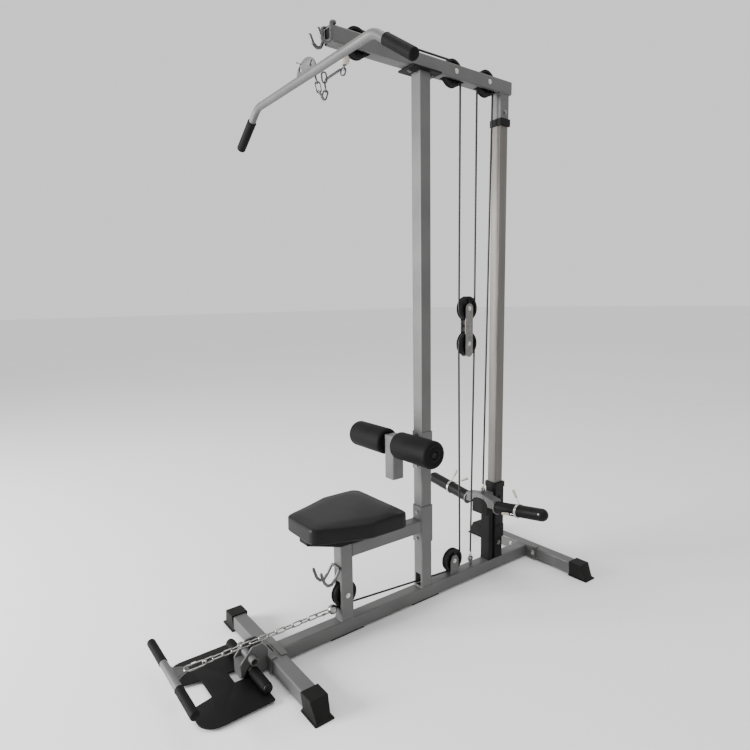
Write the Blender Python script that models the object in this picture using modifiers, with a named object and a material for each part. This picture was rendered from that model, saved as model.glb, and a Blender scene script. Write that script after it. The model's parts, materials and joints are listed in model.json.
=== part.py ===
"""Lat pulldown machine with a low row station and a sliding plate carriage.

Metres, +Z up. X runs across the machine, and X = 0 is the frame's plane of symmetry.
-Y is the end with the foot plate, and +Y is the end with the weight carriage.
The origin is on the floor, in the middle of the machine's footprint.
"""
import math

import bmesh
import bpy
from mathutils import Matrix, Vector

# Frame tube and fits
GAP = 0.0003                # play between pieces that touch
WELD = 0.00001              # merge distance of coincident points
TUBE = 0.050                # outer side of the square frame tube
WALL = 0.0025               # wall of every square tube
CORNER = 0.005              # outer corner radius of the square tube
HALF = TUBE / 2
OVERLAP = 0.001             # how far welded pieces run into each other

# Places along the machine
FRONT_FOOT_Y = -0.5035
SEAT_POST_Y = -0.2105
KNEE_TUBE_Y = 0.0265
UPRIGHT_Y = 0.1665
BLOCK_Y = 0.4055
CARRIAGE_Y = 0.5115
GUIDE_Y = 0.5865
REAR_FOOT_Y = 0.8065

# Base
BEAM_Z = 0.032
DECK_Z = BEAM_Z + HALF      # top face of the base tubes
FOOT_REACH = 0.290          # half length of a foot tube
BOOT_INNER_X = 0.248
BOOT_TIP_X = 0.334
BOOT_SHOULDER_X = 0.303
BOOT_HEIGHT = 0.0615
BOOT_HALF_FLOOR = 0.0325
BOOT_HALF_TOP = 0.0268
FLANGE = 0.004              # thickness of the plates welded to tube ends
FRONT_FLANGE_HALF_X = 0.060
REAR_FLANGE_HALF_X = 0.078

# Foot plate and its pegs
STUB_FRONT_Y = -0.6205
STUB_LOW_Z = 0.010
GUSSET = 0.003
GUSSET_TOP_Z = 0.104
PEG_Y = -0.5855
PEG_Z = 0.033
PEG_RADIUS = 0.008
PEG_REACH = 0.146
PEG_FOAM_RADIUS = 0.0165
PEG_FOAM_INNER_X = 0.0320
PEG_FOAM_OUTER_X = 0.1400
REST_TUBE_Z = 0.070
PLATE_LOW_Z = 0.0085
PLATE_TOP_Z = 0.0130
PLATE_FRONT_Y = -0.7975
PLATE_REAR_Y = -0.5765
PLATE_HALF_X = 0.175

# Upright, boom and guide
UPRIGHT_TOP_Z = 1.9665
FLANGE_TOP_Z = 1.9715
BOOM_Z = FLANGE_TOP_Z + GAP + HALF
BOOM_FRONT_Y = -0.2150
BOOM_REAR_Y = 0.6240
STUB_END_Z = 1.8780
GUIDE = 0.045
GUIDE_TOP_Z = 1.9600
SOCKET_TOP_Z = 0.147
REST_POST_TOP_Z = 0.272

# Pulleys and cables
PULLEY_RADIUS = 0.048
PULLEY_HALF = 0.0105
GROOVE_RADIUS = 0.0400
CABLE_RADIUS = 0.0030
CABLE_RUN = 0.044           # axle to the middle of the cable
AXLE_RADIUS = 0.005
AXLE_BORE = AXLE_RADIUS + 2 * GAP
TOP_FRONT_Y = -0.1135
TOP_MID_Y = 0.3185
TOP_REAR_Y = 0.4965
LOW_FRONT_Z = 0.150
LOW_REAR_Y = 0.3285
LOW_REAR_Z = 0.112
BLOCK_UPPER_Z = 1.142
BLOCK_LOWER_Z = 1.003
BASE_EYE = (0, 0.4365, 0.085)

# Seat
RAIL_Z = 0.312
SEAT_SLEEVE = (0.243, 0.390)
SLEEVE = 0.0566             # outer side of the sleeves on the upright
PAD_LOW_Z = 0.4010
PAD_TOP_Z = 0.4600
MOUNT_TOP_Z = PAD_LOW_Z - GAP

# Knee hold-down
KNEE_SLEEVE = (0.537, 0.683)
KNEE_ARM_Z = 0.640
KNEE_TUBE = (0.527, 0.690)
ROLLER_Y = 0.0240
ROLLER_Z = 0.658
ROLLER_RADIUS = 0.0490
ROLLER_INNER_X = 0.0305
ROLLER_OUTER_X = 0.2220
ROLLER_AXLE_RADIUS = 0.007

# Weight carriage
SLIDER = 0.056
SLIDER_LOW_Z = 0.148
SLIDER_TOP_Z = 0.396
CROSS_HALF_X = 0.078
CROSS_DEPTH = 0.044
CROSS_FRONT_Y = 0.4905
HORN_TILT = math.radians(8.8)
HORN_ROOT_X = 0.079
HORN_ROOT_Z = 0.317
HORN_LENGTH = 0.247
HORN_RADIUS = 0.0125
SLEEVE_RADIUS = 0.025
STOP_RADIUS = 0.030
COLLAR_ALONG = 0.111        # spring collar, measured along the horn

# Lat bar
LAT_Y = -0.2990
LAT_Z = 1.8604
LAT_RADIUS = 0.0125
LAT_BEND_X = 0.339
LAT_END_X = 0.4950
LAT_END_Z = 1.7547
LAT_GRIP = 0.128
GRIP_RADIUS = 0.0160
LAT_BALL = (0, TOP_FRONT_Y - CABLE_RUN, 1.938)
BALL_RADIUS = 0.017

# Row handle
ROW_Y = -0.8255
ROW_Z = 0.100
ROW_HALF = 0.208
ROW_GRIP_X = 0.073
ROW_RADIUS = 0.0120
ROW_GRIP_RADIUS = 0.0135
ROW_BALL = (0, -0.2615, 0.105)
ROW_APEX_Y = -0.7815

# Colour, roughness and metallic value of each finish
FINISHES = {
    "frame_paint": ((0.36, 0.36, 0.35), 0.42, 0.35),
    "zinc_plate": ((0.55, 0.54, 0.51), 0.32, 0.85),
    "bright_steel": ((0.62, 0.62, 0.61), 0.22, 1.0),
    "black_paint": ((0.025, 0.025, 0.026), 0.45, 0.0),
    "black_plastic": ((0.018, 0.018, 0.018), 0.50, 0.0),
    "black_rubber": ((0.020, 0.020, 0.021), 0.75, 0.0),
    "black_foam": ((0.015, 0.015, 0.015), 0.60, 0.0),
    "black_vinyl": ((0.020, 0.020, 0.020), 0.38, 0.0),
    "cable_jacket": ((0.030, 0.030, 0.030), 0.40, 0.0),
}

# Local outline axes (u, v) and extrusion axis w, as columns in world axes
FACING = {
    "X": Matrix(((0, 0, 1), (1, 0, 0), (0, 1, 0))),
    "Y": Matrix(((1, 0, 0), (0, 0, -1), (0, 1, 0))),
    "Z": Matrix.Identity(3),
}


def empty_scene():
    for old in list(bpy.data.objects):
        bpy.data.objects.remove(old)
    collections = []
    for name in ("lat_pulldown_machine", "shaping_tools"):
        group = bpy.data.collections.new(name)
        bpy.context.scene.collection.children.link(group)
        collections.append(group)
    return collections


PARTS, TOOLS = empty_scene()


# ---- shapes --------------------------------------------------------------

def fillet(corners, radius, steps=3, closed=False):
    """Points of a path or outline whose corners are arcs of one radius."""
    corners = [Vector(corner) for corner in corners]
    path = []
    for index, corner in enumerate(corners):
        if not closed and index in (0, len(corners) - 1):
            path.append(corner)
            continue
        back = (corners[index - 1] - corner).normalized()
        ahead = (corners[(index + 1) % len(corners)] - corner).normalized()
        half_angle = back.angle(ahead) / 2
        reach = radius / math.tan(half_angle)
        centre = corner + (back + ahead).normalized() * (radius / math.sin(half_angle))
        start = (corner + back * reach - centre).normalized()
        end = (corner + ahead * reach - centre).normalized()
        path += [centre + start.slerp(end, step / steps) * radius for step in range(steps + 1)]
    return path


def rectangle(width, height, radius=CORNER):
    u, v = width / 2, height / 2
    return fillet([(-u, -v), (u, -v), (u, v), (-u, v)], radius, steps=2, closed=True)


def circle(radius, steps=12, centre=(0, 0)):
    turns = [2 * math.pi * step / steps for step in range(steps)]
    return [(centre[0] + radius * math.cos(turn), centre[1] + radius * math.sin(turn)) for turn in turns]


def mirrored(half_outline):
    """Whole outline from its +u half, listed from the middle out and back to the middle."""
    return half_outline + [(-u, v) for u, v in reversed(half_outline) if u > 0]


def add_spline(curve, points, cyclic):
    spline = curve.splines.new("POLY")
    spline.points.add(len(points) - 1)
    for slot, point in zip(spline.points, points):
        slot.co = (*point, 1)
    spline.use_cyclic_u = cyclic


def mesh_from_curve(name, curve, place):
    """Welded mesh object of a curve."""
    source = bpy.data.objects.new(name, curve)
    PARTS.objects.link(source)
    graph = bpy.context.evaluated_depsgraph_get()
    mesh = bpy.data.meshes.new_from_object(source.evaluated_get(graph))
    bpy.data.objects.remove(source)
    welded = bmesh.new()
    welded.from_mesh(mesh)
    bmesh.ops.remove_doubles(welded, verts=welded.verts, dist=WELD)
    bmesh.ops.recalc_face_normals(welded, faces=welded.faces)
    welded.to_mesh(mesh)
    welded.free()
    return mesh_object(name, mesh, place)


def mesh_object(name, mesh, place):
    piece = bpy.data.objects.new(name, mesh)
    PARTS.objects.link(piece)
    piece.matrix_world = place
    return piece


def extruded(name, loops, depth, axis="Z", centre=(0, 0, 0)):
    """Solid of one outline, less any inner ones, extruded both ways along an axis."""
    curve = bpy.data.curves.new(name, "CURVE")
    curve.dimensions = "2D"
    curve.fill_mode = "BOTH"
    curve.extrude = depth / 2
    for loop in loops:
        add_spline(curve, [(u, v, 0) for u, v in loop], cyclic=True)
    return mesh_from_curve(name, curve, Matrix.Translation(centre) @ FACING[axis].to_4x4())


def bar(name, axis, centre, length, width=TUBE, height=TUBE, radius=CORNER):
    return extruded(name, [rectangle(width, height, radius)], length, axis, centre)


def square_tube(name, axis, centre, length, side=TUBE):
    loops = [rectangle(side, side), rectangle(side - 2 * WALL, side - 2 * WALL, CORNER - WALL)]
    return extruded(name, loops, length, axis, centre)


def rod(name, points, radius, sides=8):
    """Round bar or cable along a path."""
    curve = bpy.data.curves.new(name, "CURVE")
    curve.dimensions = "3D"
    curve.bevel_depth = radius
    curve.bevel_resolution = sides // 2 - 2
    curve.use_fill_caps = True
    add_spline(curve, points, cyclic=False)
    piece = mesh_from_curve(name, curve, Matrix())
    smooth(piece)
    return piece


def box(name, low, high):
    mesh = bpy.data.meshes.new(name)
    cube = bmesh.new()
    bmesh.ops.create_cube(cube, size=1)
    size = [top - bottom for bottom, top in zip(low, high)]
    bmesh.ops.scale(cube, vec=size, verts=cube.verts)
    cube.to_mesh(mesh)
    cube.free()
    middle = [(bottom + top) / 2 for bottom, top in zip(low, high)]
    return mesh_object(name, mesh, Matrix.Translation(middle))


def turned(name, profile, centre, direction=(1, 0, 0), steps=24):
    """Solid of revolution. The profile's (radius, height) points run down its outer side.

    A profile that stays off the axis is closed into a ring.
    """
    outline = bmesh.new()
    points = [outline.verts.new((radius, 0, height)) for radius, height in profile]
    for first, second in zip(points, points[1:]):
        outline.edges.new((first, second))
    if min(radius for radius, _ in profile) > 0:
        outline.edges.new((points[-1], points[0]))
    mesh = bpy.data.meshes.new(name)
    outline.to_mesh(mesh)
    outline.free()
    turn = Vector(direction).to_track_quat("Z", "Y").to_matrix().to_4x4()
    piece = mesh_object(name, mesh, Matrix.Translation(centre) @ turn)
    screw = piece.modifiers.new("turn", "SCREW")
    screw.axis = "Z"
    screw.angle = 2 * math.pi
    screw.steps = steps
    screw.render_steps = steps
    screw.use_merge_vertices = True
    screw.merge_threshold = WELD
    screw.use_smooth_shade = True
    weld = piece.modifiers.new("close", "WELD")
    weld.merge_threshold = WELD
    return piece


def drum(name, radius, centre, length, axis=(1, 0, 0), steps=12):
    """Plain cylinder about its centre."""
    half = length / 2
    return turned(name, [(0, half), (radius, half), (radius, -half), (0, -half)], centre, axis, steps)


def smooth(piece, angle=40):
    piece.data.shade_smooth()
    piece.data.set_sharp_from_angle(angle=math.radians(angle))


# ---- joining and cutting -------------------------------------------------

def use_tool(piece, tool, operation):
    boolean = piece.modifiers.new(tool.name, "BOOLEAN")
    boolean.operation = operation
    boolean.solver = "EXACT"
    boolean.object = tool
    PARTS.objects.unlink(tool)
    TOOLS.objects.link(tool)
    tool.hide_render = True
    tool.display_type = "WIRE"


def join(piece, *others):
    for other in others:
        use_tool(piece, other, "UNION")


def cut(piece, *cutters):
    for cutter in cutters:
        use_tool(piece, cutter, "DIFFERENCE")


def bore(piece, radius, centre, length):
    """Round hole along X."""
    cut(piece, drum(f"{piece.name}_hole_{len(piece.modifiers)}", radius, centre, length))


def finish(piece, finish_name):
    """Give a piece a material of its own in one of the finishes."""
    colour, roughness, metallic = FINISHES[finish_name]
    material = bpy.data.materials.new(f"{piece.name}_{finish_name}")
    material.use_nodes = True
    shader = material.node_tree.nodes["Principled BSDF"]
    shader.inputs["Base Color"].default_value = (*colour, 1)
    shader.inputs["Roughness"].default_value = roughness
    shader.inputs["Metallic"].default_value = metallic
    material.diffuse_color = (*colour, 1)
    piece.data.materials.append(material)


def joint_axis(name, place):
    """Empty on a joint's axis."""
    axis = bpy.data.objects.new(name, None)
    PARTS.objects.link(axis)
    axis.location = place
    return axis


def hang(axis, *pieces):
    """Parent pieces to a joint's empty and leave them where they are."""
    for piece in pieces:
        piece.parent = axis
        piece.matrix_parent_inverse = Matrix.Translation(axis.location).inverted()


# ---- base ----------------------------------------------------------------

def end_flange(name, face_y, outward, gap, half_x):
    """Plate against a foot tube's side, with a lip over the tube's top."""
    root_y = face_y - outward * FLANGE
    edge_y = face_y - outward * gap
    lip_y = face_y + outward * 0.018
    top_z = DECK_Z + FLANGE
    low_z = BEAM_Z - HALF + OVERLAP
    outline = [(root_y, low_z), (edge_y, low_z), (edge_y, DECK_Z + gap), (lip_y, DECK_Z + gap),
               (lip_y, top_z), (root_y, top_z)]
    return extruded(name, [outline], 2 * half_x, "X")


def pulley_ear(side):
    """Round-topped plate beside the low rear pulley."""
    width = 0.045
    x = side * (PULLEY_HALF + 0.0030)
    low_z = DECK_Z - OVERLAP
    tip_z = LOW_REAR_Z + 0.023
    outline = fillet([(-width / 2, low_z - LOW_REAR_Z), (width / 2, low_z - LOW_REAR_Z),
                      (width / 2, 0), (width / 4, tip_z - LOW_REAR_Z), (-width / 4, tip_z - LOW_REAR_Z),
                      (-width / 2, 0)], 0.004, steps=2, closed=True)
    hole = circle(AXLE_BORE)
    return extruded(f"ear_{side:+d}", [outline, hole], GUSSET, "X", (x, LOW_REAR_Y, LOW_REAR_Z))


def base_beam():
    front_y = FRONT_FOOT_Y + HALF
    rear_y = REAR_FOOT_Y - HALF
    middle_y = (front_y + rear_y) / 2
    length = rear_y - front_y - 2 * GAP
    beam = bar("base_beam", "Y", (0, middle_y, BEAM_Z), length)
    join(beam, end_flange("front_flange", front_y, -1, GAP, FRONT_FLANGE_HALF_X),
         end_flange("rear_flange", rear_y, 1, GAP, REAR_FLANGE_HALF_X))
    inner = TUBE - 2 * WALL
    cut(beam, bar("beam_bore", "Y", (0, middle_y, BEAM_Z), length + TUBE, inner, inner, CORNER - WALL))
    join(beam, pulley_ear(-1), pulley_ear(1))
    eye_x, eye_y, eye_z = BASE_EYE
    ring = turned("base_eye", [(0.013, 0.004), (0.013, -0.004), (0.006, -0.004), (0.006, 0.004)],
                  BASE_EYE, steps=16)
    stem = box("eye_stem", (-0.003, eye_y - 0.007, DECK_Z - OVERLAP), (0.003, eye_y + 0.007, eye_z - 0.009))
    join(beam, ring, stem)
    finish(beam, "frame_paint")


def front_foot():
    foot = bar("front_foot", "X", (0, FRONT_FOOT_Y, BEAM_Z), 2 * FOOT_REACH)
    face_y = FRONT_FOOT_Y - HALF
    stub_middle_y = (STUB_FRONT_Y + face_y) / 2
    stub = bar("foot_stub", "Y", (0, stub_middle_y, STUB_LOW_Z + HALF), face_y - STUB_FRONT_Y + 2 * OVERLAP)
    join(foot, stub, end_flange("stub_flange", face_y, 1, -OVERLAP, FRONT_FLANGE_HALF_X))
    inner = TUBE - 2 * WALL
    cut(foot, bar("foot_bore", "X", (0, FRONT_FOOT_Y, BEAM_Z), 2 * FOOT_REACH + TUBE,
                  inner, inner, CORNER - WALL))
    stub_bore_y = (STUB_FRONT_Y + WALL + FRONT_FOOT_Y) / 2
    cut(foot, bar("stub_bore", "Y", (0, stub_bore_y, STUB_LOW_Z + HALF),
                  FRONT_FOOT_Y - STUB_FRONT_Y - WALL, inner, inner, CORNER - WALL))
    side = fillet([(STUB_FRONT_Y, STUB_LOW_Z), (face_y + OVERLAP, STUB_LOW_Z), (face_y + OVERLAP, 0.080),
                   (-0.5450, GUSSET_TOP_Z), (-0.5800, GUSSET_TOP_Z), (STUB_FRONT_Y, 0.060)],
                  0.006, steps=1, closed=True)
    for sign in (-1, 1):
        join(foot, extruded(f"gusset_{sign:+d}", [side], GUSSET + 2 * OVERLAP, "X",
                            (sign * (HALF + GUSSET / 2 - OVERLAP), 0, 0)))
    rest_place = (0, PEG_Y, REST_TUBE_Z)
    join(foot, drum("rest_tube", 0.0130, rest_place, 0.110, steps=16),
         drum("peg_bar", PEG_RADIUS, (0, PEG_Y, PEG_Z), 2 * PEG_REACH))
    bore(foot, 0.0100, rest_place, 0.140)
    finish(foot, "frame_paint")


def rear_foot():
    foot = square_tube("rear_foot", "X", (0, REAR_FOOT_Y, BEAM_Z), 2 * FOOT_REACH)
    finish(foot, "frame_paint")


def rubber_boot(name, side, foot_y):
    """Flared boot with a pocket for the end of a foot tube."""
    height = BOOT_HEIGHT
    middle_x = side * (BOOT_INNER_X + BOOT_TIP_X) / 2
    boot = box(name, (min(side * BOOT_INNER_X, side * BOOT_TIP_X), foot_y - BOOT_HALF_FLOOR, 0),
               (max(side * BOOT_INNER_X, side * BOOT_TIP_X), foot_y + BOOT_HALF_FLOOR, height))
    for vertex in boot.data.vertices:
        if vertex.co.z > 0:
            vertex.co.y = math.copysign(BOOT_HALF_TOP, vertex.co.y)
            if vertex.co.x * side > 0:
                vertex.co.x = side * BOOT_SHOULDER_X - middle_x
    rounding = boot.modifiers.new("edges", "BEVEL")
    rounding.width = 0.002
    rounding.segments = 2
    rounding.limit_method = "ANGLE"
    fit = TUBE + 2 * GAP
    start_x = BOOT_INNER_X - TUBE
    end_x = FOOT_REACH + GAP
    cut(boot, bar(f"{name}_pocket", "X", (side * (start_x + end_x) / 2, foot_y, BEAM_Z),
                  end_x - start_x, fit, fit))
    finish(boot, "black_rubber")


def peg_foam(name, side):
    half = (PEG_FOAM_OUTER_X - PEG_FOAM_INNER_X) / 2
    middle = side * (PEG_FOAM_OUTER_X + PEG_FOAM_INNER_X) / 2
    inner = PEG_RADIUS + GAP
    foam = turned(name, [(PEG_FOAM_RADIUS - 0.002, half), (PEG_FOAM_RADIUS, half - 0.002),
                         (PEG_FOAM_RADIUS, 0.002 - half), (PEG_FOAM_RADIUS - 0.002, -half),
                         (inner, -half), (inner, half)], (middle, PEG_Y, PEG_Z), steps=16)
    finish(foam, "black_foam")


def foot_plate():
    """Flat plate that turns on the peg bar, with two ears up beside the stub."""
    ear_inner_x = HALF + GUSSET + 0.0004
    ear = 0.003
    slot_front_y = -0.6435
    notch_y = -0.7235
    front_half = fillet([(0, notch_y), (0.047, notch_y), (0.060, -0.7880), (0.072, PLATE_FRONT_Y),
                         (0.120, PLATE_FRONT_Y), (0.158, -0.7780), (PLATE_HALF_X, -0.7300),
                         (PLATE_HALF_X, PLATE_REAR_Y), (ear_inner_x, PLATE_REAR_Y),
                         (ear_inner_x, slot_front_y), (0, slot_front_y)], 0.006, steps=2)
    outline = mirrored([(point[0], point[1]) for point in front_half])
    middle_z = (PLATE_LOW_Z + PLATE_TOP_Z) / 2
    plate = extruded("foot_plate", [outline], PLATE_TOP_Z - PLATE_LOW_Z, "Z", (0, 0, middle_z))
    lug = fillet([(PEG_Y - 0.030, PLATE_TOP_Z - OVERLAP), (PLATE_REAR_Y - OVERLAP, PLATE_TOP_Z - OVERLAP),
                  (PLATE_REAR_Y - OVERLAP, PEG_Z + 0.010), (PEG_Y - 0.008, PEG_Z + 0.014)],
                 0.004, steps=2, closed=True)
    hole = circle(PEG_RADIUS + 2 * GAP, centre=(PEG_Y, PEG_Z))
    for side in (-1, 1):
        x = side * (ear_inner_x + ear / 2)
        join(plate, extruded(f"plate_ear_{side:+d}", [lug, hole], ear, "X", (x, 0, 0)))
    finish(plate, "black_paint")
    return plate


# ---- upright, boom and guide ---------------------------------------------

def upright():
    low_z = DECK_Z + GAP
    post = square_tube("upright", "Z", (0, UPRIGHT_Y, (low_z + UPRIGHT_TOP_Z) / 2), UPRIGHT_TOP_Z - low_z)
    head = box("upright_head", (-0.040, UPRIGHT_Y - 0.070, UPRIGHT_TOP_Z - OVERLAP),
               (0.040, UPRIGHT_Y + 0.065, FLANGE_TOP_Z))
    join(post, head)
    cut(post, box("cable_slot", (-0.014, UPRIGHT_Y - TUBE, 0.062), (0.014, UPRIGHT_Y + TUBE, 0.112)))
    finish(post, "frame_paint")


def boom():
    length = BOOM_REAR_Y - BOOM_FRONT_Y
    middle_y = (BOOM_REAR_Y + BOOM_FRONT_Y) / 2
    beam = bar("boom", "Y", (0, middle_y, BOOM_Z), length)
    stub_top = BOOM_Z - HALF + 2 * OVERLAP
    join(beam, bar("rear_stub", "Z", (0, GUIDE_Y, (STUB_END_Z + stub_top) / 2), stub_top - STUB_END_Z,
                   TUBE - 2 * GAP, TUBE - 2 * GAP))
    inner = TUBE - 2 * WALL
    bore_end_y = BOOM_REAR_Y - WALL
    bore_start_y = BOOM_FRONT_Y - TUBE
    cut(beam, bar("boom_bore", "Y", (0, (bore_start_y + bore_end_y) / 2, BOOM_Z), bore_end_y - bore_start_y,
                  inner, inner, CORNER - WALL))
    fit = GUIDE + 2 * GAP
    bore_low = STUB_END_Z - TUBE
    cut(beam, bar("stub_bore_upper", "Z", (0, GUIDE_Y, (bore_low + GUIDE_TOP_Z + 0.002) / 2),
                  GUIDE_TOP_Z + 0.002 - bore_low, fit, fit))
    for name, y in (("front", TOP_FRONT_Y), ("mid", TOP_MID_Y), ("rear", TOP_REAR_Y)):
        reach = PULLEY_RADIUS + 0.004
        cut(beam, box(f"{name}_window", (-0.014, y - reach, BOOM_Z - TUBE),
                      (0.014, y + reach, BOOM_Z + TUBE)))
        bore(beam, AXLE_BORE, (0, y, BOOM_Z), 2 * TUBE)
    finish(beam, "frame_paint")


def boom_cap():
    side = TUBE - 2 * WALL - 2 * GAP
    cap = bar("boom_cap", "Y", (0, BOOM_FRONT_Y + 0.008, BOOM_Z), 0.012, side, side, CORNER - WALL)
    finish(cap, "black_plastic")


def guide_rail():
    low_z = DECK_Z + FLANGE + 2 * GAP
    rail = square_tube("guide_rail", "Z", (0, GUIDE_Y, (low_z + GUIDE_TOP_Z) / 2), GUIDE_TOP_Z - low_z, GUIDE)
    finish(rail, "zinc_plate")


def guide_bumper():
    """Rubber collar that stops the carriage under the boom."""
    hole = rectangle(GUIDE + 2 * GAP, GUIDE + 2 * GAP)
    collar = extruded("guide_bumper", [rectangle(0.060, 0.058), hole], 0.0255, "Z",
                      (0, GUIDE_Y, STUB_END_Z - GAP - 0.01275))
    finish(collar, "black_rubber")


def guide_base():
    """Base plate with the rail's socket and the rest post in front of it."""
    low_z = DECK_Z + GAP
    base = box("guide_base", (-HALF, 0.5260, low_z), (HALF, 0.6120, low_z + FLANGE))
    socket_middle_z = (low_z + 2 * OVERLAP + SOCKET_TOP_Z) / 2
    socket = bar("socket", "Z", (0, GUIDE_Y, socket_middle_z), SOCKET_TOP_Z - low_z - 2 * OVERLAP,
                 TUBE - 2 * GAP, TUBE - 2 * GAP)
    post = box("rest_post", (-0.0225, 0.5265, low_z + OVERLAP), (0.0225, 0.5505, REST_POST_TOP_Z))
    join(base, socket, post)
    fit = GUIDE + 2 * GAP
    pocket_low = low_z + FLANGE
    cut(base, bar("socket_bore", "Z", (0, GUIDE_Y, (pocket_low + SOCKET_TOP_Z + HALF) / 2),
                  SOCKET_TOP_Z + HALF - pocket_low, fit, fit))
    finish(base, "black_paint")


def rest_block():
    """Block with an arched top that the carriage's crosspiece lands on."""
    low_z = REST_POST_TOP_Z + GAP
    half = [(0, 0.3380), (0.016, 0.3365), (0.032, 0.3290), (0.040, 0.3190), (0.040, low_z), (0, low_z)]
    block = extruded("rest_block", [mirrored(half)], CROSS_DEPTH, "Y",
                     (0, CROSS_FRONT_Y + CROSS_DEPTH / 2, 0))
    finish(block, "black_rubber")


# ---- seat and knee hold-down ---------------------------------------------

def upright_sleeve(name, span):
    low_z, high_z = span
    return bar(name, "Z", (0, UPRIGHT_Y, (low_z + high_z) / 2), high_z - low_z, SLEEVE, SLEEVE)


def sleeve_bore(name, span):
    low_z, high_z = span
    fit = TUBE + 2 * GAP
    return bar(name, "Z", (0, UPRIGHT_Y, (low_z + high_z) / 2), high_z - low_z + TUBE, fit, fit)


def seat_frame():
    """Post and rail welded to a sleeve round the upright."""
    low_z = DECK_Z + GAP
    top_z = RAIL_Z + HALF
    post = bar("seat_frame", "Z", (0, SEAT_POST_Y, (low_z + top_z) / 2), top_z - low_z)
    slim = TUBE - 2 * GAP
    rail_end_y = UPRIGHT_Y - SLEEVE / 2 + OVERLAP
    rail = bar("seat_rail", "Y", (0, (SEAT_POST_Y + rail_end_y) / 2, RAIL_Z), rail_end_y - SEAT_POST_Y,
               slim, slim)
    join(post, rail, upright_sleeve("seat_sleeve", SEAT_SLEEVE))
    inner = TUBE - 2 * WALL
    bore_low = low_z - HALF
    bore_top = top_z - WALL
    cut(post, bar("post_bore", "Z", (0, SEAT_POST_Y, (bore_low + bore_top) / 2), bore_top - bore_low,
                  inner, inner))
    bore_end_y = rail_end_y - 2 * WALL
    cut(post, bar("rail_bore", "Y", (0, (SEAT_POST_Y + bore_end_y) / 2, RAIL_Z), bore_end_y - SEAT_POST_Y,
                  inner - OVERLAP, inner - OVERLAP))
    cut(post, sleeve_bore("seat_sleeve_bore", SEAT_SLEEVE))
    reach = PULLEY_RADIUS + 0.004
    cut(post, box("post_window", (-0.014, SEAT_POST_Y - TUBE, LOW_FRONT_Z - reach),
                  (0.014, SEAT_POST_Y + TUBE, LOW_FRONT_Z + reach)))
    bore(post, AXLE_BORE, (0, SEAT_POST_Y, LOW_FRONT_Z), 2 * TUBE)
    finish(post, "frame_paint")


def seat_mount():
    """Channel between the seat rail and the pad, with a raked nose."""
    low_z = RAIL_Z + HALF + GAP
    outline = fillet([(-0.0840, low_z), (-0.0840, MOUNT_TOP_Z), (-0.3685, MOUNT_TOP_Z), (-0.3685, 0.3775),
                      (SEAT_POST_Y - HALF, low_z)], 0.002, steps=1, closed=True)
    mount = extruded("seat_mount", [outline], TUBE, "X")
    finish(mount, "black_paint")


def seat_pad():
    """Padded board, square at the back and narrow at the front."""
    half = fillet([(0, -0.0365), (0.160, -0.0365), (0.160, -0.1900), (0.086, -0.3855), (0, -0.3855)],
                  0.030, steps=3)
    outline = mirrored([(point[0], point[1]) for point in half])
    pad = extruded("seat_pad", [outline], PAD_TOP_Z - PAD_LOW_Z, "Z", (0, 0, (PAD_LOW_Z + PAD_TOP_Z) / 2))
    rounding = pad.modifiers.new("edges", "BEVEL")
    rounding.width = 0.007
    rounding.segments = 2
    rounding.limit_method = "ANGLE"
    rounding.angle_limit = math.radians(60)
    finish(pad, "black_vinyl")


def knee_arm():
    """Drop tube and arm welded to a sleeve round the upright."""
    low_z, high_z = KNEE_TUBE
    tube = bar("knee_arm", "Z", (0, KNEE_TUBE_Y, (low_z + high_z) / 2), high_z - low_z)
    slim = TUBE - 2 * GAP
    arm_end_y = UPRIGHT_Y - SLEEVE / 2 + OVERLAP
    arm = bar("arm", "Y", (0, (KNEE_TUBE_Y + arm_end_y) / 2, KNEE_ARM_Z), arm_end_y - KNEE_TUBE_Y, slim, slim)
    join(tube, arm, upright_sleeve("knee_sleeve", KNEE_SLEEVE))
    inner = TUBE - 2 * WALL
    bore_low = low_z - HALF
    bore_top = high_z - WALL
    cut(tube, bar("drop_bore", "Z", (0, KNEE_TUBE_Y, (bore_low + bore_top) / 2), bore_top - bore_low,
                  inner, inner))
    bore_end_y = arm_end_y - 2 * WALL
    cut(tube, bar("arm_bore", "Y", (0, (KNEE_TUBE_Y + bore_end_y) / 2, KNEE_ARM_Z), bore_end_y - KNEE_TUBE_Y,
                  inner - OVERLAP, inner - OVERLAP))
    cut(tube, sleeve_bore("knee_sleeve_bore", KNEE_SLEEVE))
    bore(tube, ROLLER_AXLE_RADIUS + 2 * GAP, (0, ROLLER_Y, ROLLER_Z), 2 * TUBE)
    finish(tube, "frame_paint")


def headed_axle(name, centre, radius, head_radius, head_start, head_end, finish_name="zinc_plate"):
    """Pin along X with a head on each end."""
    profile = [(0, head_end), (head_radius, head_end), (head_radius, head_start), (radius, head_start),
               (radius, -head_start), (head_radius, -head_start), (head_radius, -head_end), (0, -head_end)]
    axle = turned(name, profile, centre, steps=12)
    finish(axle, finish_name)
    return axle


def knee_roller(name, side):
    half = (ROLLER_OUTER_X - ROLLER_INNER_X) / 2
    middle = side * (ROLLER_OUTER_X + ROLLER_INNER_X) / 2
    radius = ROLLER_RADIUS
    inner = ROLLER_AXLE_RADIUS + 2 * GAP
    profile = [(radius - 0.009, half), (radius - 0.002, half - 0.004), (radius, half - 0.012),
               (radius, 0.012 - half), (radius - 0.002, 0.004 - half), (radius - 0.009, -half),
               (inner, -half), (inner, half)]
    roller = turned(name, profile, (middle, ROLLER_Y, ROLLER_Z), steps=24)
    finish(roller, "black_foam")
    return roller


def storage_hook(name, route):
    """Two hooks bent from one rod, joined by its crossbar."""
    side = [Vector((HALF, y, z)) for y, z in route]
    other = [Vector((-HALF, y, z)) for y, z in reversed(route)]
    hook = rod(name, fillet(side + other, 0.0078, steps=2), 0.0052)
    finish(hook, "zinc_plate")


# ---- pulleys and cables ----------------------------------------------------

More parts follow.
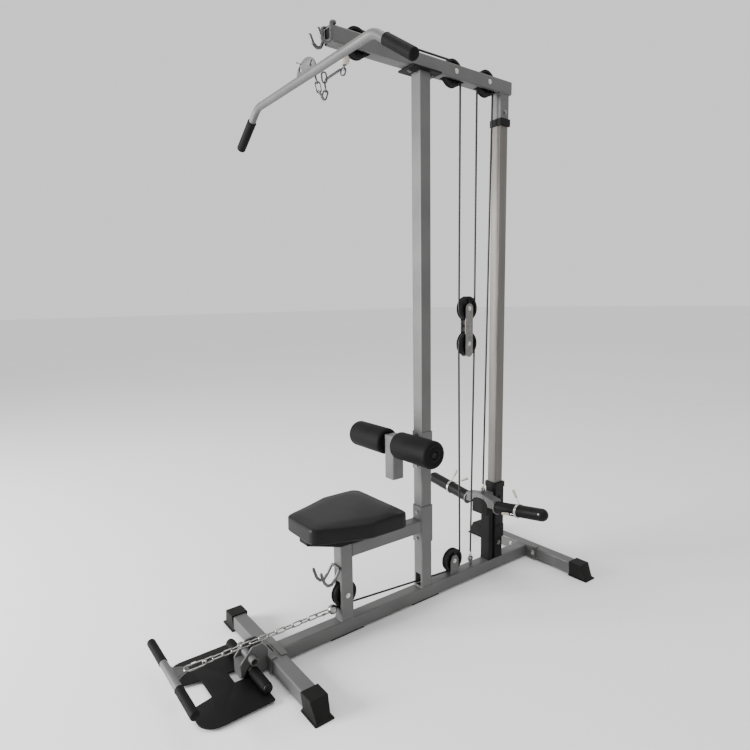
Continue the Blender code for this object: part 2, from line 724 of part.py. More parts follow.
def pulley(name, y, z):
    rim = 0.0070
    floor = 0.0022
    inner = AXLE_BORE
    profile = [(PULLEY_RADIUS, PULLEY_HALF), (PULLEY_RADIUS, rim), (GROOVE_RADIUS, floor),
               (GROOVE_RADIUS, -floor), (PULLEY_RADIUS, -rim), (PULLEY_RADIUS, -PULLEY_HALF),
               (inner, -PULLEY_HALF), (inner, PULLEY_HALF)]
    wheel = turned(name, profile, (0, y, z), steps=20)
    finish(wheel, "black_plastic")
    return wheel


def block_frame():
    """Two side plates of the floating block, held apart by a spacer."""
    inner_x = PULLEY_HALF + 0.0010
    half_width = 0.0205
    low_z, high_z = 0.950, 1.162
    middle_z = (low_z + high_z) / 2
    half_height = (high_z - low_z) / 2
    outline = fillet([(-half_width, -half_height), (half_width, -half_height),
                      (half_width, half_height), (-half_width, half_height)], half_width - OVERLAP,
                     steps=3, closed=True)
    holes = [circle(AXLE_BORE, centre=(0, z - middle_z)) for z in (BLOCK_UPPER_Z, BLOCK_LOWER_Z)]
    plates = [extruded(name, [outline, *holes], GUSSET, "X",
                       (side * (inner_x + GUSSET / 2), BLOCK_Y, middle_z))
              for name, side in (("block_frame", 1), ("far_block_plate", -1))]
    spacer_z = (BLOCK_UPPER_Z + BLOCK_LOWER_Z) / 2
    frame = plates[0]
    join(frame, plates[1],
         drum("block_spacer", 0.006, (0, BLOCK_Y, spacer_z), 2 * (inner_x + GUSSET + OVERLAP)))
    finish(frame, "zinc_plate")
    return frame


def arc(y, z, start, end, steps=4):
    """Points of a cable round a pulley, by angle in the YZ plane."""
    turns = [math.radians(start + (end - start) * step / steps) for step in range(steps + 1)]
    return [(0, y + CABLE_RUN * math.cos(turn), z + CABLE_RUN * math.sin(turn)) for turn in turns]


def cables():
    ball_top_z = LAT_BALL[2] + BALL_RADIUS + GAP
    joint = 0.002
    lat = [(0, LAT_BALL[1], ball_top_z)]
    lat += arc(TOP_FRONT_Y, BOOM_Z, 180, 90)
    lat += arc(TOP_MID_Y, BOOM_Z, 90, 0)
    lat += arc(BLOCK_Y, BLOCK_UPPER_Z, 180, 360, steps=9)
    lat += arc(TOP_REAR_Y, BOOM_Z, 180, 0, steps=9)
    lat.append((0, TOP_REAR_Y + CABLE_RUN, BOOM_Z - joint))
    lat_cable = rod("lat_cable", lat, CABLE_RADIUS)
    finish(lat_cable, "cable_jacket")

    carriage = [(0, TOP_REAR_Y + CABLE_RUN, BOOM_Z - joint - GAP), (0, CARRIAGE_Y, 0.386)]
    carriage_cable = rod("carriage_cable", carriage, CABLE_RADIUS)
    finish(carriage_cable, "cable_jacket")

    ball_rear_y = ROW_BALL[1] + BALL_RADIUS + GAP
    row = [(0, ball_rear_y, ROW_BALL[2] + 0.001)]
    row += arc(SEAT_POST_Y, LOW_FRONT_Z, 270, 282, steps=2)
    row += arc(LOW_REAR_Y, LOW_REAR_Z, 266, 360, steps=5)
    row.append((0, LOW_REAR_Y + CABLE_RUN, LOW_REAR_Z + joint))
    row_cable = rod("row_cable", row, CABLE_RADIUS)
    finish(row_cable, "cable_jacket")

    block = [(0, LOW_REAR_Y + CABLE_RUN, LOW_REAR_Z + joint + GAP)]
    block += arc(BLOCK_Y, BLOCK_LOWER_Z, 180, 0, steps=9)
    block += [(0, BASE_EYE[1], BASE_EYE[2] + 0.0135)]
    block_cable = rod("block_cable", block, CABLE_RADIUS)
    finish(block_cable, "cable_jacket")


# ---- weight carriage -------------------------------------------------------

def horn_direction(side):
    return Vector((side * math.cos(HORN_TILT), 0, math.sin(HORN_TILT)))


def horn_point(side, along):
    return Vector((side * HORN_ROOT_X, CARRIAGE_Y, HORN_ROOT_Z)) + horn_direction(side) * along


def carriage_frame():
    """Crosspiece with an arched notch, its horns with stop discs, and the cable eye."""
    half = [(0, 0.3580), (0.012, 0.3580), (CROSS_HALF_X, 0.3450), (CROSS_HALF_X, 0.3110), (0.0440, 0.3110),
            (0.0420, 0.3205), (0.0335, 0.3315), (0.0170, 0.3390), (0, 0.3405)]
    cross = extruded("carriage_frame", [mirrored(half)], CROSS_DEPTH, "Y",
                     (0, CROSS_FRONT_Y + CROSS_DEPTH / 2, 0))
    back_y = GUIDE_Y - SLIDER / 2 - GAP
    join(cross, box("slider_link", (-0.018, CROSS_FRONT_Y + CROSS_DEPTH - OVERLAP, 0.3445),
                    (0.018, back_y, 0.3545)))
    root = -0.016
    tip = HORN_LENGTH - 0.035
    stop = 0.005
    profile = [(0, tip), (HORN_RADIUS, tip), (HORN_RADIUS, stop), (STOP_RADIUS, stop), (STOP_RADIUS, 0),
               (HORN_RADIUS, 0), (HORN_RADIUS, root), (0, root)]
    for side in (-1, 1):
        join(cross, turned(f"horn_{side:+d}", profile, horn_point(side, 0), horn_direction(side), 20))
    ring = turned("carriage_eye", [(0.012, 0.0035), (0.012, -0.0035), (0.006, -0.0035), (0.006, 0.0035)],
                  (0, CARRIAGE_Y, 0.3690), steps=12)
    join(cross, ring)
    finish(cross, "frame_paint")
    return cross


def horn_sleeve(name, side):
    """Plastic sleeve with a domed tip over a horn."""
    tip = HORN_LENGTH
    dome = 0.020
    start = 0.0055
    inner = HORN_RADIUS + 2 * GAP
    floor = HORN_LENGTH - 0.030
    arc_points = [(SLEEVE_RADIUS - dome + dome * math.sin(turn), tip - dome + dome * math.cos(turn))
                  for turn in (math.radians(30 * step) for step in range(4))]
    profile = [(0, tip), *arc_points, (SLEEVE_RADIUS, start), (inner, start), (inner, floor), (0, floor)]
    sleeve = turned(name, profile, horn_point(side, 0), horn_direction(side), steps=20)
    finish(sleeve, "black_plastic")
    return sleeve


def carriage_slider():
    """Sleeve that runs on the guide rail, with a collar on top and a flared foot."""
    middle_z = (SLIDER_LOW_Z + SLIDER_TOP_Z) / 2
    slider = bar("carriage_slider", "Z", (0, GUIDE_Y, middle_z), SLIDER_TOP_Z - SLIDER_LOW_Z, SLIDER, SLIDER)
    collar = 0.062
    foot = 0.060
    join(slider,
         bar("slider_collar", "Z", (0, GUIDE_Y, SLIDER_TOP_Z - 0.0110), 0.0210, collar, collar, 0.006),
         bar("slider_foot", "Z", (0, GUIDE_Y, SLIDER_LOW_Z + 0.0285), 0.0550, foot, foot, 0.006))
    fit = GUIDE + 2 * 2 * GAP
    cut(slider, bar("slider_bore", "Z", (0, GUIDE_Y, middle_z), SLIDER_TOP_Z, fit, fit))
    finish(slider, "black_plastic")
    return slider


def spring_collar(name, side):
    """Spring wire ring round the sleeve with two splayed handles."""
    inner = SLEEVE_RADIUS + 0.0004
    outer = inner + 0.0036
    width = 0.0055
    centre = horn_point(side, COLLAR_ALONG)
    along = horn_direction(side)
    ring = turned(name, [(outer, width), (outer, -width), (inner, -width), (inner, width)], centre, along, 20)
    up = Vector((0, 0.10, 1)).normalized()
    front = Vector((0, -1, -0.25)).normalized()
    for label, out in (("upper", up), ("front", front)):
        start = centre + out * (inner + 0.002)
        end = start + out * 0.048 - along * 0.026
        join(ring, rod(f"{name}_{label}", [start, end], 0.0022))
    finish(ring, "bright_steel")
    return ring


# ---- lat bar and row handle ------------------------------------------------

def bar_end(side):
    return Vector((side * LAT_END_X, LAT_Y, LAT_END_Z))


def bar_bend(side):
    return Vector((side * LAT_BEND_X, LAT_Y, LAT_Z))


def lat_bar():
    """Long bar with bent ends and a hanger plate with two slots."""
    path = fillet([bar_end(-1), bar_bend(-1), bar_bend(1), bar_end(1)], 0.070, steps=4)
    long_bar = rod("lat_bar", path, LAT_RADIUS, sides=12)
    outline = fillet([(-0.056, 0.004), (0.056, 0.004), (0.050, 0.040), (0.026, 0.0515), (-0.026, 0.0515),
                      (-0.050, 0.040)], 0.010, steps=3, closed=True)
    slots = [[(x + u, 0.0285 + v) for u, v in rectangle(0.012, 0.022, 0.0055)] for x in (-0.032, 0.032)]
    plate = extruded("hanger_plate", [outline, *slots], 0.006, "Y", (0, LAT_Y, LAT_Z))
    join(long_bar, plate)
    finish(long_bar, "frame_paint")
    return long_bar


def end_grip(name, tip, direction, length, bar_radius, grip_radius):
    """Grip over the end of a bar. The tip is the bar's end, and the direction points out of it."""
    cap = 0.003
    lip = 0.003
    inner = bar_radius + 2 * GAP
    profile = [(0, cap), (grip_radius - lip, cap), (grip_radius, cap - lip), (grip_radius, lip - length),
               (grip_radius - lip, -length), (inner, -length), (inner, GAP), (0, GAP)]
    grip = turned(name, profile, tip, direction, steps=20)
    finish(grip, "black_rubber")
    return grip


def ball(name, centre):
    rings = 8
    turns = [math.pi * step / rings for step in range(1, rings)]
    belt = [(BALL_RADIUS * math.sin(turn), BALL_RADIUS * math.cos(turn)) for turn in turns]
    return turned(name, [(0, BALL_RADIUS), *belt, (0, -BALL_RADIUS)], centre, (0, 0, 1), steps=14)


def lat_chain():
    """Ball stop and the chain from it to the hanger plate."""
    _, ball_y, ball_z = LAT_BALL
    stop = ball("lat_chain", LAT_BALL)
    route = [(0, ball_y, ball_z - 0.010), (0, -0.1735, 1.9060), (0, -0.2175, 1.8790), (0, -0.2385, 1.8160),
             (0, -0.2550, 1.8300), (0, -0.2700, 1.8720), (0, LAT_Y + 0.0085, 1.8960)]
    join(stop, rod("lat_chain_rod", fillet(route, 0.006, steps=2), 0.004))
    finish(stop, "bright_steel")
    return stop


def row_handle():
    """Straight bar with a flat bracket for the chain."""
    tip = ROW_HALF - 0.003
    handle = drum("row_handle", ROW_RADIUS, (0, ROW_Y, ROW_Z), 2 * tip, steps=16)
    outline = fillet([(-0.040, ROW_Y + 0.004), (0.040, ROW_Y + 0.004), (0.010, ROW_APEX_Y + 0.008),
                      (-0.010, ROW_APEX_Y + 0.008)], 0.005, steps=2, closed=True)
    hole = circle(0.0055, centre=(0, ROW_APEX_Y))
    join(handle, extruded("handle_bracket", [outline, hole], 0.005, "Z", (0, 0, ROW_Z)))
    finish(handle, "frame_paint")
    return handle


def row_chain():
    """Ball stop and the straight chain from it to the row handle."""
    stop = ball("row_chain", ROW_BALL)
    route = [(0, ROW_BALL[1] - 0.010, ROW_BALL[2]), (0, ROW_APEX_Y + 0.0135, ROW_Z + 0.004)]
    join(stop, rod("row_chain_rod", route, 0.004))
    finish(stop, "bright_steel")
    return stop


# ---- assembly --------------------------------------------------------------

def base():
    base_beam()
    front_foot()
    rear_foot()
    for end, foot_y in (("front", FRONT_FOOT_Y), ("rear", REAR_FOOT_Y)):
        rubber_boot(f"boot_{end}_left", -1, foot_y)
        rubber_boot(f"boot_{end}_right", 1, foot_y)
    peg_foam("peg_foam_left", -1)
    peg_foam("peg_foam_right", 1)
    hang(joint_axis("foot_plate_axis", (0, PEG_Y, PEG_Z)), foot_plate())


def tower():
    upright()
    boom()
    boom_cap()
    guide_rail()
    guide_bumper()
    guide_base()
    rest_block()
    storage_hook("hook_upper", [(-0.2665, 1.9940), (-0.2570, 1.9725), (-0.2430, 1.9625), (-0.2290, 1.9665),
                                (-0.2216, 1.9820), (-0.2216, 2.0278), (-0.2040, 2.0278)])
    storage_hook("hook_lower", [(-0.3180, 0.2630), (-0.3060, 0.2280), (-0.2930, 0.2130), (-0.2770, 0.2120),
                                (-0.2620, 0.2290), (-0.2416, 0.2590)])


def seating():
    seat_frame()
    seat_mount()
    seat_pad()
    knee_arm()
    headed_axle("knee_axle", (0, ROLLER_Y, ROLLER_Z), ROLLER_AXLE_RADIUS, 0.014,
                ROLLER_OUTER_X + GAP, ROLLER_OUTER_X + 0.0035)
    for name, side in (("knee_roller_left", -1), ("knee_roller_right", 1)):
        knee_roller(name, side)


def pulleys():
    head = 0.009
    in_tube = (AXLE_RADIUS, head, HALF + GAP, HALF + 0.0060)
    in_plates = (AXLE_RADIUS, head, 0.0153, 0.0205)
    for name, y, z, sizes in (("top_front", TOP_FRONT_Y, BOOM_Z, in_tube),
                              ("top_mid", TOP_MID_Y, BOOM_Z, in_tube),
                              ("top_rear", TOP_REAR_Y, BOOM_Z, in_tube),
                              ("low_front", SEAT_POST_Y, LOW_FRONT_Z, in_tube),
                              ("low_rear", LOW_REAR_Y, LOW_REAR_Z, in_plates)):
        headed_axle(f"axle_{name}", (0, y, z), *sizes)
        pulley(f"pulley_{name}", y, z)
    block = [block_frame()]
    for name, z in (("block_upper", BLOCK_UPPER_Z), ("block_lower", BLOCK_LOWER_Z)):
        block.append(headed_axle(f"axle_{name}", (0, BLOCK_Y, z), *in_plates))
        block.append(pulley(f"pulley_{name}", BLOCK_Y, z))
    hang(joint_axis("block_axis", (0, BLOCK_Y, BLOCK_UPPER_Z)), *block)
    cables()


def carriage():
    pieces = [carriage_frame(), carriage_slider()]
    for name, side in (("left", -1), ("right", 1)):
        pieces.append(horn_sleeve(f"horn_sleeve_{name}", side))
        pieces.append(spring_collar(f"spring_collar_{name}", side))
    hang(joint_axis("carriage_axis", (0, GUIDE_Y, SLIDER_LOW_Z)), *pieces)


def handles():
    lat = [lat_bar(), lat_chain()]
    row = [row_handle(), row_chain()]
    for name, side in (("left", -1), ("right", 1)):
        outward = (bar_end(side) - bar_bend(side)).normalized()
        lat.append(end_grip(f"lat_grip_{name}", bar_end(side), outward, LAT_GRIP, LAT_RADIUS, GRIP_RADIUS))
        tip = (side * (ROW_HALF - 0.003), ROW_Y, ROW_Z)
        row.append(end_grip(f"row_grip_{name}", tip, (side, 0, 0), ROW_HALF - 0.003 - ROW_GRIP_X,
                            ROW_RADIUS, ROW_GRIP_RADIUS))
    hang(joint_axis("lat_bar_axis", LAT_BALL), *lat)
    hang(joint_axis("row_handle_axis", ROW_BALL), *row)


base()
tower()
seating()
pulleys()
carriage()
handles()
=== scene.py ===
import json
import math

import bmesh
import bpy
from mathutils import Matrix, Vector


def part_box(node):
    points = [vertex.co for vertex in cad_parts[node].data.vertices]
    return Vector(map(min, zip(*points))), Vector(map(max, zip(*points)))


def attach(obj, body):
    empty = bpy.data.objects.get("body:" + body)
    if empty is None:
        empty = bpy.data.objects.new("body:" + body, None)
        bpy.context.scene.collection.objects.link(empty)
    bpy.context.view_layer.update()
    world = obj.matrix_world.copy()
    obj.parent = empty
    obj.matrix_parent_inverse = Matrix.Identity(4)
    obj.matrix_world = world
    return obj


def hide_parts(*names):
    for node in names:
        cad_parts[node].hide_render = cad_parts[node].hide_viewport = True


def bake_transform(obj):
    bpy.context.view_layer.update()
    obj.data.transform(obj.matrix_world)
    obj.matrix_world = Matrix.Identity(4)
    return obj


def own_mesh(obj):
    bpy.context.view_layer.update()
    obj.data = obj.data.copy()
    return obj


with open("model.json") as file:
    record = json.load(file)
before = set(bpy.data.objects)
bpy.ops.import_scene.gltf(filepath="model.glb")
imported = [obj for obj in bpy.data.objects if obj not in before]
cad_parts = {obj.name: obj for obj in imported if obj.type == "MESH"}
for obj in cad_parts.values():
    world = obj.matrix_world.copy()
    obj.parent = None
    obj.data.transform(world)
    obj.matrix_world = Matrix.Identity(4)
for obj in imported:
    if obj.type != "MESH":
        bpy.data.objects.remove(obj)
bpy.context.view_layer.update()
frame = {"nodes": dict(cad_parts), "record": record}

# ---- the machine's measures, in metres -------------------------------------

TUBE = 0.050
HALF = TUBE / 2
SLEEVE = 0.0566
FRONT_FOOT_Y = -0.5035
REAR_FOOT_Y = 0.8065
SEAT_POST_Y = -0.2105
KNEE_TUBE_Y = 0.0265
UPRIGHT_Y = 0.1665
GUIDE_Y = 0.5865
BLOCK_Y = 0.4055
CARRIAGE_Y = 0.5115
DECK_Z = 0.057
BOOM_Z = 1.9968

CABLE_RADIUS = 0.0038
CABLE_RUN = 0.044
PULLEY_RADIUS = 0.048
PULLEY_HALF = 0.0105
PULLEYS = {"top_front": (-0.1135, BOOM_Z), "top_mid": (0.3185, BOOM_Z), "top_rear": (0.4965, BOOM_Z),
           "low_front": (SEAT_POST_Y, 0.150), "low_rear": (0.3285, 0.112),
           "block_upper": (BLOCK_Y, 1.142), "block_lower": (BLOCK_Y, 1.003)}

LAT_Y = -0.2990
LAT_Z = 1.8604
LAT_RADIUS = 0.0125
LAT_BEND_X = 0.339
LAT_END = (0.4950, 1.7547)
LAT_BALL = Vector((0, -0.1575, 1.938))
ROW_Y = -0.8255
ROW_Z = 0.100
ROW_END_X = 0.205
ROW_BALL = Vector((0, -0.2615, 0.105))
ROW_APEX_Y = -0.7815
BALL_RADIUS = 0.017

HORN_TILT = math.radians(8.8)
HORN_ROOT = (0.079, CARRIAGE_Y, 0.317)
SLEEVE_RADIUS = 0.025
COLLAR_ALONG = 0.111
HORN_LENGTH = 0.247

PEG_Y = -0.5855
PEG_Z = 0.033
PEG_FOAM_INNER_X = 0.0405
PEG_FOAM_OUTER_X = 0.140
PEG_FOAM_RADIUS = 0.0165
ROLLER_Y = 0.0240
ROLLER_Z = 0.658
ROLLER_INNER_X = 0.0305
ROLLER_OUTER_X = 0.2220
ROLLER_RADIUS = 0.0490

SIDES = (("left", -1), ("right", 1))
X_AXIS = Vector((1, 0, 0))


# ---- surfaces ----------------------------------------------------------------

def surface(name, tones, roughness, metallic=0.0, mottle=12, grain=900, relief=0.00006, cells=False,
            stretch=(1, 1, 1), specular=0.5):
    """Two tones mixed by a soft mottle, a roughness that wanders with it, and a fine grain in relief."""
    material = bpy.data.materials.new(name)
    material.use_nodes = True
    nodes, links = material.node_tree.nodes, material.node_tree.links
    shader = nodes["Principled BSDF"]
    shader.inputs["Metallic"].default_value = metallic
    shader.inputs["Specular IOR Level"].default_value = specular
    place = nodes.new("ShaderNodeTexCoord")
    scaled = nodes.new("ShaderNodeMapping")
    scaled.inputs["Scale"].default_value = stretch
    links.new(place.outputs["Object"], scaled.inputs["Vector"])
    cloud = nodes.new("ShaderNodeTexNoise")
    cloud.inputs["Scale"].default_value = mottle
    cloud.inputs["Detail"].default_value = 5
    links.new(scaled.outputs["Vector"], cloud.inputs["Vector"])
    spread = nodes.new("ShaderNodeValToRGB")
    for stop, position, tone in zip(spread.color_ramp.elements, (0.32, 0.68), tones):
        stop.position = position
        stop.color = (*tone, 1)
    links.new(cloud.outputs["Fac"], spread.inputs["Fac"])
    links.new(spread.outputs["Color"], shader.inputs["Base Color"])
    gloss = nodes.new("ShaderNodeMapRange")
    gloss.inputs["To Min"].default_value, gloss.inputs["To Max"].default_value = roughness
    links.new(cloud.outputs["Fac"], gloss.inputs["Value"])
    links.new(gloss.outputs["Result"], shader.inputs["Roughness"])
    fine = nodes.new("ShaderNodeTexVoronoi" if cells else "ShaderNodeTexNoise")
    fine.inputs["Scale"].default_value = grain
    links.new(scaled.outputs["Vector"], fine.inputs["Vector"])
    bump = nodes.new("ShaderNodeBump")
    bump.inputs["Distance"].default_value = relief
    bump.inputs["Strength"].default_value = 0.6
    links.new(fine.outputs["Distance" if cells else "Fac"], bump.inputs["Height"])
    links.new(bump.outputs["Normal"], shader.inputs["Normal"])
    return material


SURFACES = {
    "frame_paint": surface("silver_powder_coat", ((0.095, 0.097, 0.095), (0.118, 0.120, 0.117)), (0.40, 0.50),
                           metallic=0.40, mottle=7, grain=1300, relief=0.00010, specular=0.4),
    "zinc_plate": surface("zinc", ((0.16, 0.158, 0.152), (0.23, 0.226, 0.216)), (0.24, 0.38), metallic=1.0,
                          mottle=60, grain=700, relief=0.00004),
    # Guide rail zinc: its own metal tone, warmed and drawn out in long vertical streaks as painted
    # reflection.
    "rail_zinc_and_painted_reflection": surface("rail_zinc_and_painted_reflection", ((0.120, 0.112, 0.103), (0.165, 0.156, 0.144)), (0.30, 0.42),
                         metallic=0.7, mottle=26, grain=900, relief=0.00004, stretch=(1, 1, 0.08)),
    "bright_steel": surface("bright_steel", ((0.50, 0.49, 0.475), (0.66, 0.65, 0.63)), (0.14, 0.26),
                            metallic=1.0, mottle=120, grain=900, relief=0.00003),
    "chain_steel": surface("chain_steel", ((0.26, 0.255, 0.245), (0.38, 0.372, 0.36)), (0.18, 0.30),
                           metallic=1.0, mottle=120, grain=900, relief=0.00003),
    # A darker copy of the zinc: the steel colour of the hooks, pins, bracket and bolts, and painted shade on
    # the lat chain, which hangs in shadow.
    "dark_steel_and_painted_shade": surface("dark_steel_and_painted_shade", ((0.10, 0.10, 0.10), (0.15, 0.15, 0.15)), (0.28, 0.42), metallic=1.0,
                          mottle=120, grain=900, relief=0.00004),
    "black_paint": surface("black_powder_coat", ((0.003, 0.003, 0.003), (0.006, 0.006, 0.006)), (0.46, 0.58),
                           mottle=9, grain=1100, relief=0.00012, specular=0.13),
    "black_plastic": surface("moulded_nylon", ((0.003, 0.003, 0.003), (0.006, 0.006, 0.006)), (0.38, 0.48),
                             mottle=30, grain=1500, relief=0.00008, specular=0.16),
    "black_rubber": surface("moulded_rubber", ((0.004, 0.004, 0.0037), (0.007, 0.007, 0.0066)), (0.54, 0.66),
                            mottle=25, grain=1200, relief=0.00010, specular=0.15),
    "black_foam": surface("skinned_foam", ((0.003, 0.003, 0.003), (0.006, 0.0057, 0.0057)), (0.56, 0.68),
                          mottle=18, grain=1000, relief=0.00010, cells=True, specular=0.10),
    "black_vinyl": surface("grained_vinyl", ((0.004, 0.004, 0.004), (0.007, 0.0067, 0.0067)), (0.38, 0.48),
                           mottle=14, grain=620, relief=0.00016, cells=True, specular=0.17),
    "cable_jacket": surface("nylon_jacket", ((0.010, 0.010, 0.010), (0.016, 0.016, 0.016)), (0.30, 0.42),
                            mottle=80, grain=1600, relief=0.00004, specular=0.3),
    "pale_nylon": surface("pale_nylon", ((0.38, 0.34, 0.28), (0.48, 0.43, 0.36)), (0.38, 0.50),
                          mottle=90, grain=1400, relief=0.00004),
}


# ---- shapes --------------------------------------------------------------------

def fillet(corners, radius, steps=6, closed=False):
    """Points of a path or outline whose corners are arcs. Radius is one value or one for each corner."""
    corners = [Vector(corner) for corner in corners]
    radii = radius if isinstance(radius, (list, tuple)) else [radius] * len(corners)
    path = []
    for index, (corner, bend) in enumerate(zip(corners, radii)):
        if bend == 0 or (not closed and index in (0, len(corners) - 1)):
            path.append(corner)
            continue
        back = (corners[index - 1] - corner).normalized()
        ahead = (corners[(index + 1) % len(corners)] - corner).normalized()
        half_angle = back.angle(ahead) / 2
        reach = bend / math.tan(half_angle)
        centre = corner + (back + ahead).normalized() * (bend / math.sin(half_angle))
        start = (corner + back * reach - centre).normalized()
        end = (corner + ahead * reach - centre).normalized()
        path += [centre + start.slerp(end, step / steps) * bend for step in range(steps + 1)]
    return path


def turned(profile, centre, direction=(1, 0, 0), steps=40, ring=False):
    """Solid of revolution from (radius, height) points. A ring's profile closes on itself."""
    turn = Vector(direction).to_track_quat("Z", "Y").to_matrix()
    centre = Vector(centre)
    points, rows, faces = [], [], []
    for radius, height in profile:
        count = 1 if radius == 0 else steps
        rows.append(range(len(points), len(points) + count))
        for step in range(count):
            angle = 2 * math.pi * (step + 0.5) / steps
            spoke = Vector((radius * math.cos(angle), radius * math.sin(angle), height))
            points.append(centre + turn @ spoke)
    pairs = list(zip(rows, rows[1:])) + ([(rows[-1], rows[0])] if ring else [])
    for upper, lower in pairs:
        for step in range(steps):
            after = (step + 1) % steps
            corners = [upper[step % len(upper)], upper[after % len(upper)],
                       lower[after % len(lower)], lower[step % len(lower)]]
            face = list(dict.fromkeys(corners))
            if len(face) > 2:
                faces.append(face)
    return points, faces


def swept(path, radius, sides=14, closed=False, round_ends=True, ripple=0.0):
    """Round bar along a path. Ripple makes every other ring fatter, as in a weld's bead."""
    path = [Vector(point) for point in path]
    last = len(path) - 1
    points, rings, faces, normal = [], [], [], None

    def add_ring(middle, tangent, size):
        nonlocal normal
        normal = normal or tangent.orthogonal()
        normal = (normal - tangent * normal.dot(tangent)).normalized()
        side = tangent.cross(normal)
        rings.append(range(len(points), len(points) + sides))
        for step in range(sides):
            angle = 2 * math.pi * step / sides
            points.append(middle + (normal * math.cos(angle) + side * math.sin(angle)) * size)

    for index, middle in enumerate(path):
        ahead = path[(index + 1) % len(path)] if closed or index < last else middle
        back = path[index - 1] if closed or index > 0 else middle
        tangent = (ahead - back).normalized()
        if index == 0 and not closed and round_ends:
            for turn in (80, 50, 25):
                lift = math.radians(turn)
                add_ring(middle - tangent * radius * math.sin(lift), tangent, radius * math.cos(lift))
        add_ring(middle, tangent, radius * (1 + ripple * (index % 2)))
        if index == last and not closed and round_ends:
            for turn in (25, 50, 80):
                lift = math.radians(turn)
                add_ring(middle + tangent * radius * math.sin(lift), tangent, radius * math.cos(lift))
    pairs = list(zip(rings, rings[1:])) + ([(rings[-1], rings[0])] if closed else [])
    for first, second in pairs:
        for step in range(sides):
            after = (step + 1) % sides
            faces.append([first[step], first[after], second[after], second[step]])
    if not closed:
        faces += [list(rings[0])[::-1], list(rings[-1])]
    return points, faces


FACING = {
    "X": Matrix(((0, 0, 1), (1, 0, 0), (0, 1, 0))),
    "Y": Matrix(((1, 0, 0), (0, 0, -1), (0, 1, 0))),
    "Z": Matrix.Identity(3),
}


def flat(loops, depth, axis="Z", centre=(0, 0, 0), edge=0.0006):
    """Plate with softened edges: one outline, less any inner ones, extruded both ways along an axis."""
    curve = bpy.data.curves.new("outline", "CURVE")
    curve.dimensions = "2D"
    curve.fill_mode = "BOTH"
    curve.extrude = depth / 2 - edge
    curve.bevel_depth = edge
    curve.bevel_resolution = 2
    curve.offset = -edge
    for loop in loops:
        spline = curve.splines.new("POLY")
        spline.points.add(len(loop) - 1)
        for slot, point in zip(spline.points, loop):
            slot.co = (point[0], point[1], 0, 1)
        spline.use_cyclic_u = True
    holder = bpy.data.objects.new("outline", curve)
    bpy.context.scene.collection.objects.link(holder)
    graph = bpy.context.evaluated_depsgraph_get()
    mesh = bpy.data.meshes.new_from_object(holder.evaluated_get(graph))
    place = Matrix.Translation(centre) @ FACING[axis].to_4x4()
    points = [place @ vertex.co for vertex in mesh.vertices]
    faces = [list(polygon.vertices) for polygon in mesh.polygons]
    bpy.data.objects.remove(holder)
    bpy.data.meshes.remove(mesh)
    return points, faces


def block(low, high, edge=0.0008):
    """Box with rounded edges."""
    cube = bmesh.new()
    bmesh.ops.create_cube(cube, size=1)
    low, high = Vector(low), Vector(high)
    bmesh.ops.scale(cube, vec=high - low, verts=cube.verts)
    bmesh.ops.translate(cube, vec=(low + high) / 2, verts=cube.verts)
    bmesh.ops.bevel(cube, geom=cube.edges[:], offset=edge, segments=2, affect="EDGES", profile=0.5)
    cube.verts.index_update()
    points = [vertex.co.copy() for vertex in cube.verts]
    faces = [[vertex.index for vertex in face.verts] for face in cube.faces]
    cube.free()
    return points, faces


def circle(radius, centre=(0, 0), steps=32):
    turns = [2 * math.pi * step / steps for step in range(steps)]
    return [(centre[0] + radius * math.cos(turn), centre[1] + radius * math.sin(turn)) for turn in turns]


def mirrored(half_outline):
    return half_outline + [(-point[0], *point[1:]) for point in reversed(half_outline) if point[0] > 0]


def piece(name, shapes, finish, body=None, replaces=(), sharp=38):
    """One object of several shapes, with its surface, its body and the nodes it stands for."""
    shell = bmesh.new()
    for points, faces in shapes:
        added = [shell.verts.new(point) for point in points]
        for face in faces:
            shell.faces.new([added[index] for index in face])
    bmesh.ops.remove_doubles(shell, verts=shell.verts, dist=0.00001)
    bmesh.ops.recalc_face_normals(shell, faces=shell.faces)
    mesh = bpy.data.meshes.new(name)
    shell.to_mesh(mesh)
    shell.free()
    mesh.shade_smooth()
    mesh.set_sharp_from_angle(angle=math.radians(sharp))
    mesh.materials.append(SURFACES[finish])
    made = bpy.data.objects.new(name, mesh)
    bpy.context.scene.collection.objects.link(made)
    if body:
        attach(made, body)
    if replaces:
        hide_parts(*replaces)
    return made


# ---- camera, light and floor -----------------------------------------------------

def camera():
    azimuth, pitch, roll = (math.radians(angle) for angle in (53.791, 8.055, -1.063))
    ahead = Vector((-math.sin(azimuth) * math.cos(pitch), math.cos(azimuth) * math.cos(pitch),
                    -math.sin(pitch)))
    right = Vector((math.cos(azimuth), math.sin(azimuth), 0))
    up = right.cross(ahead)
    across = right * math.cos(roll) + up * math.sin(roll)
    upward = -right * math.sin(roll) + up * math.cos(roll)
    lens = bpy.data.cameras.new("camera")
    lens.lens = 26.793
    lens.sensor_width = 36
    lens.shift_x = 0.0114
    lens.shift_y = 0.0061
    lens.clip_end = 200
    holder = bpy.data.objects.new("camera", lens)
    bpy.context.scene.collection.objects.link(holder)
    turn = Matrix((across, upward, -ahead)).transposed().to_4x4()
    holder.matrix_world = Matrix.Translation((1.56096, -1.23679, 1.18024)) @ turn
    bpy.context.scene.camera = holder


def soft_light(name, place, aim, size, power):
    lamp = bpy.data.lights.new(name, "AREA")
    lamp.size = size
    lamp.energy = power
    holder = bpy.data.objects.new(name, lamp)
    bpy.context.scene.collection.objects.link(holder)
    holder.location = place
    holder.rotation_euler = (Vector(aim) - Vector(place)).to_track_quat("-Z", "Y").to_euler()


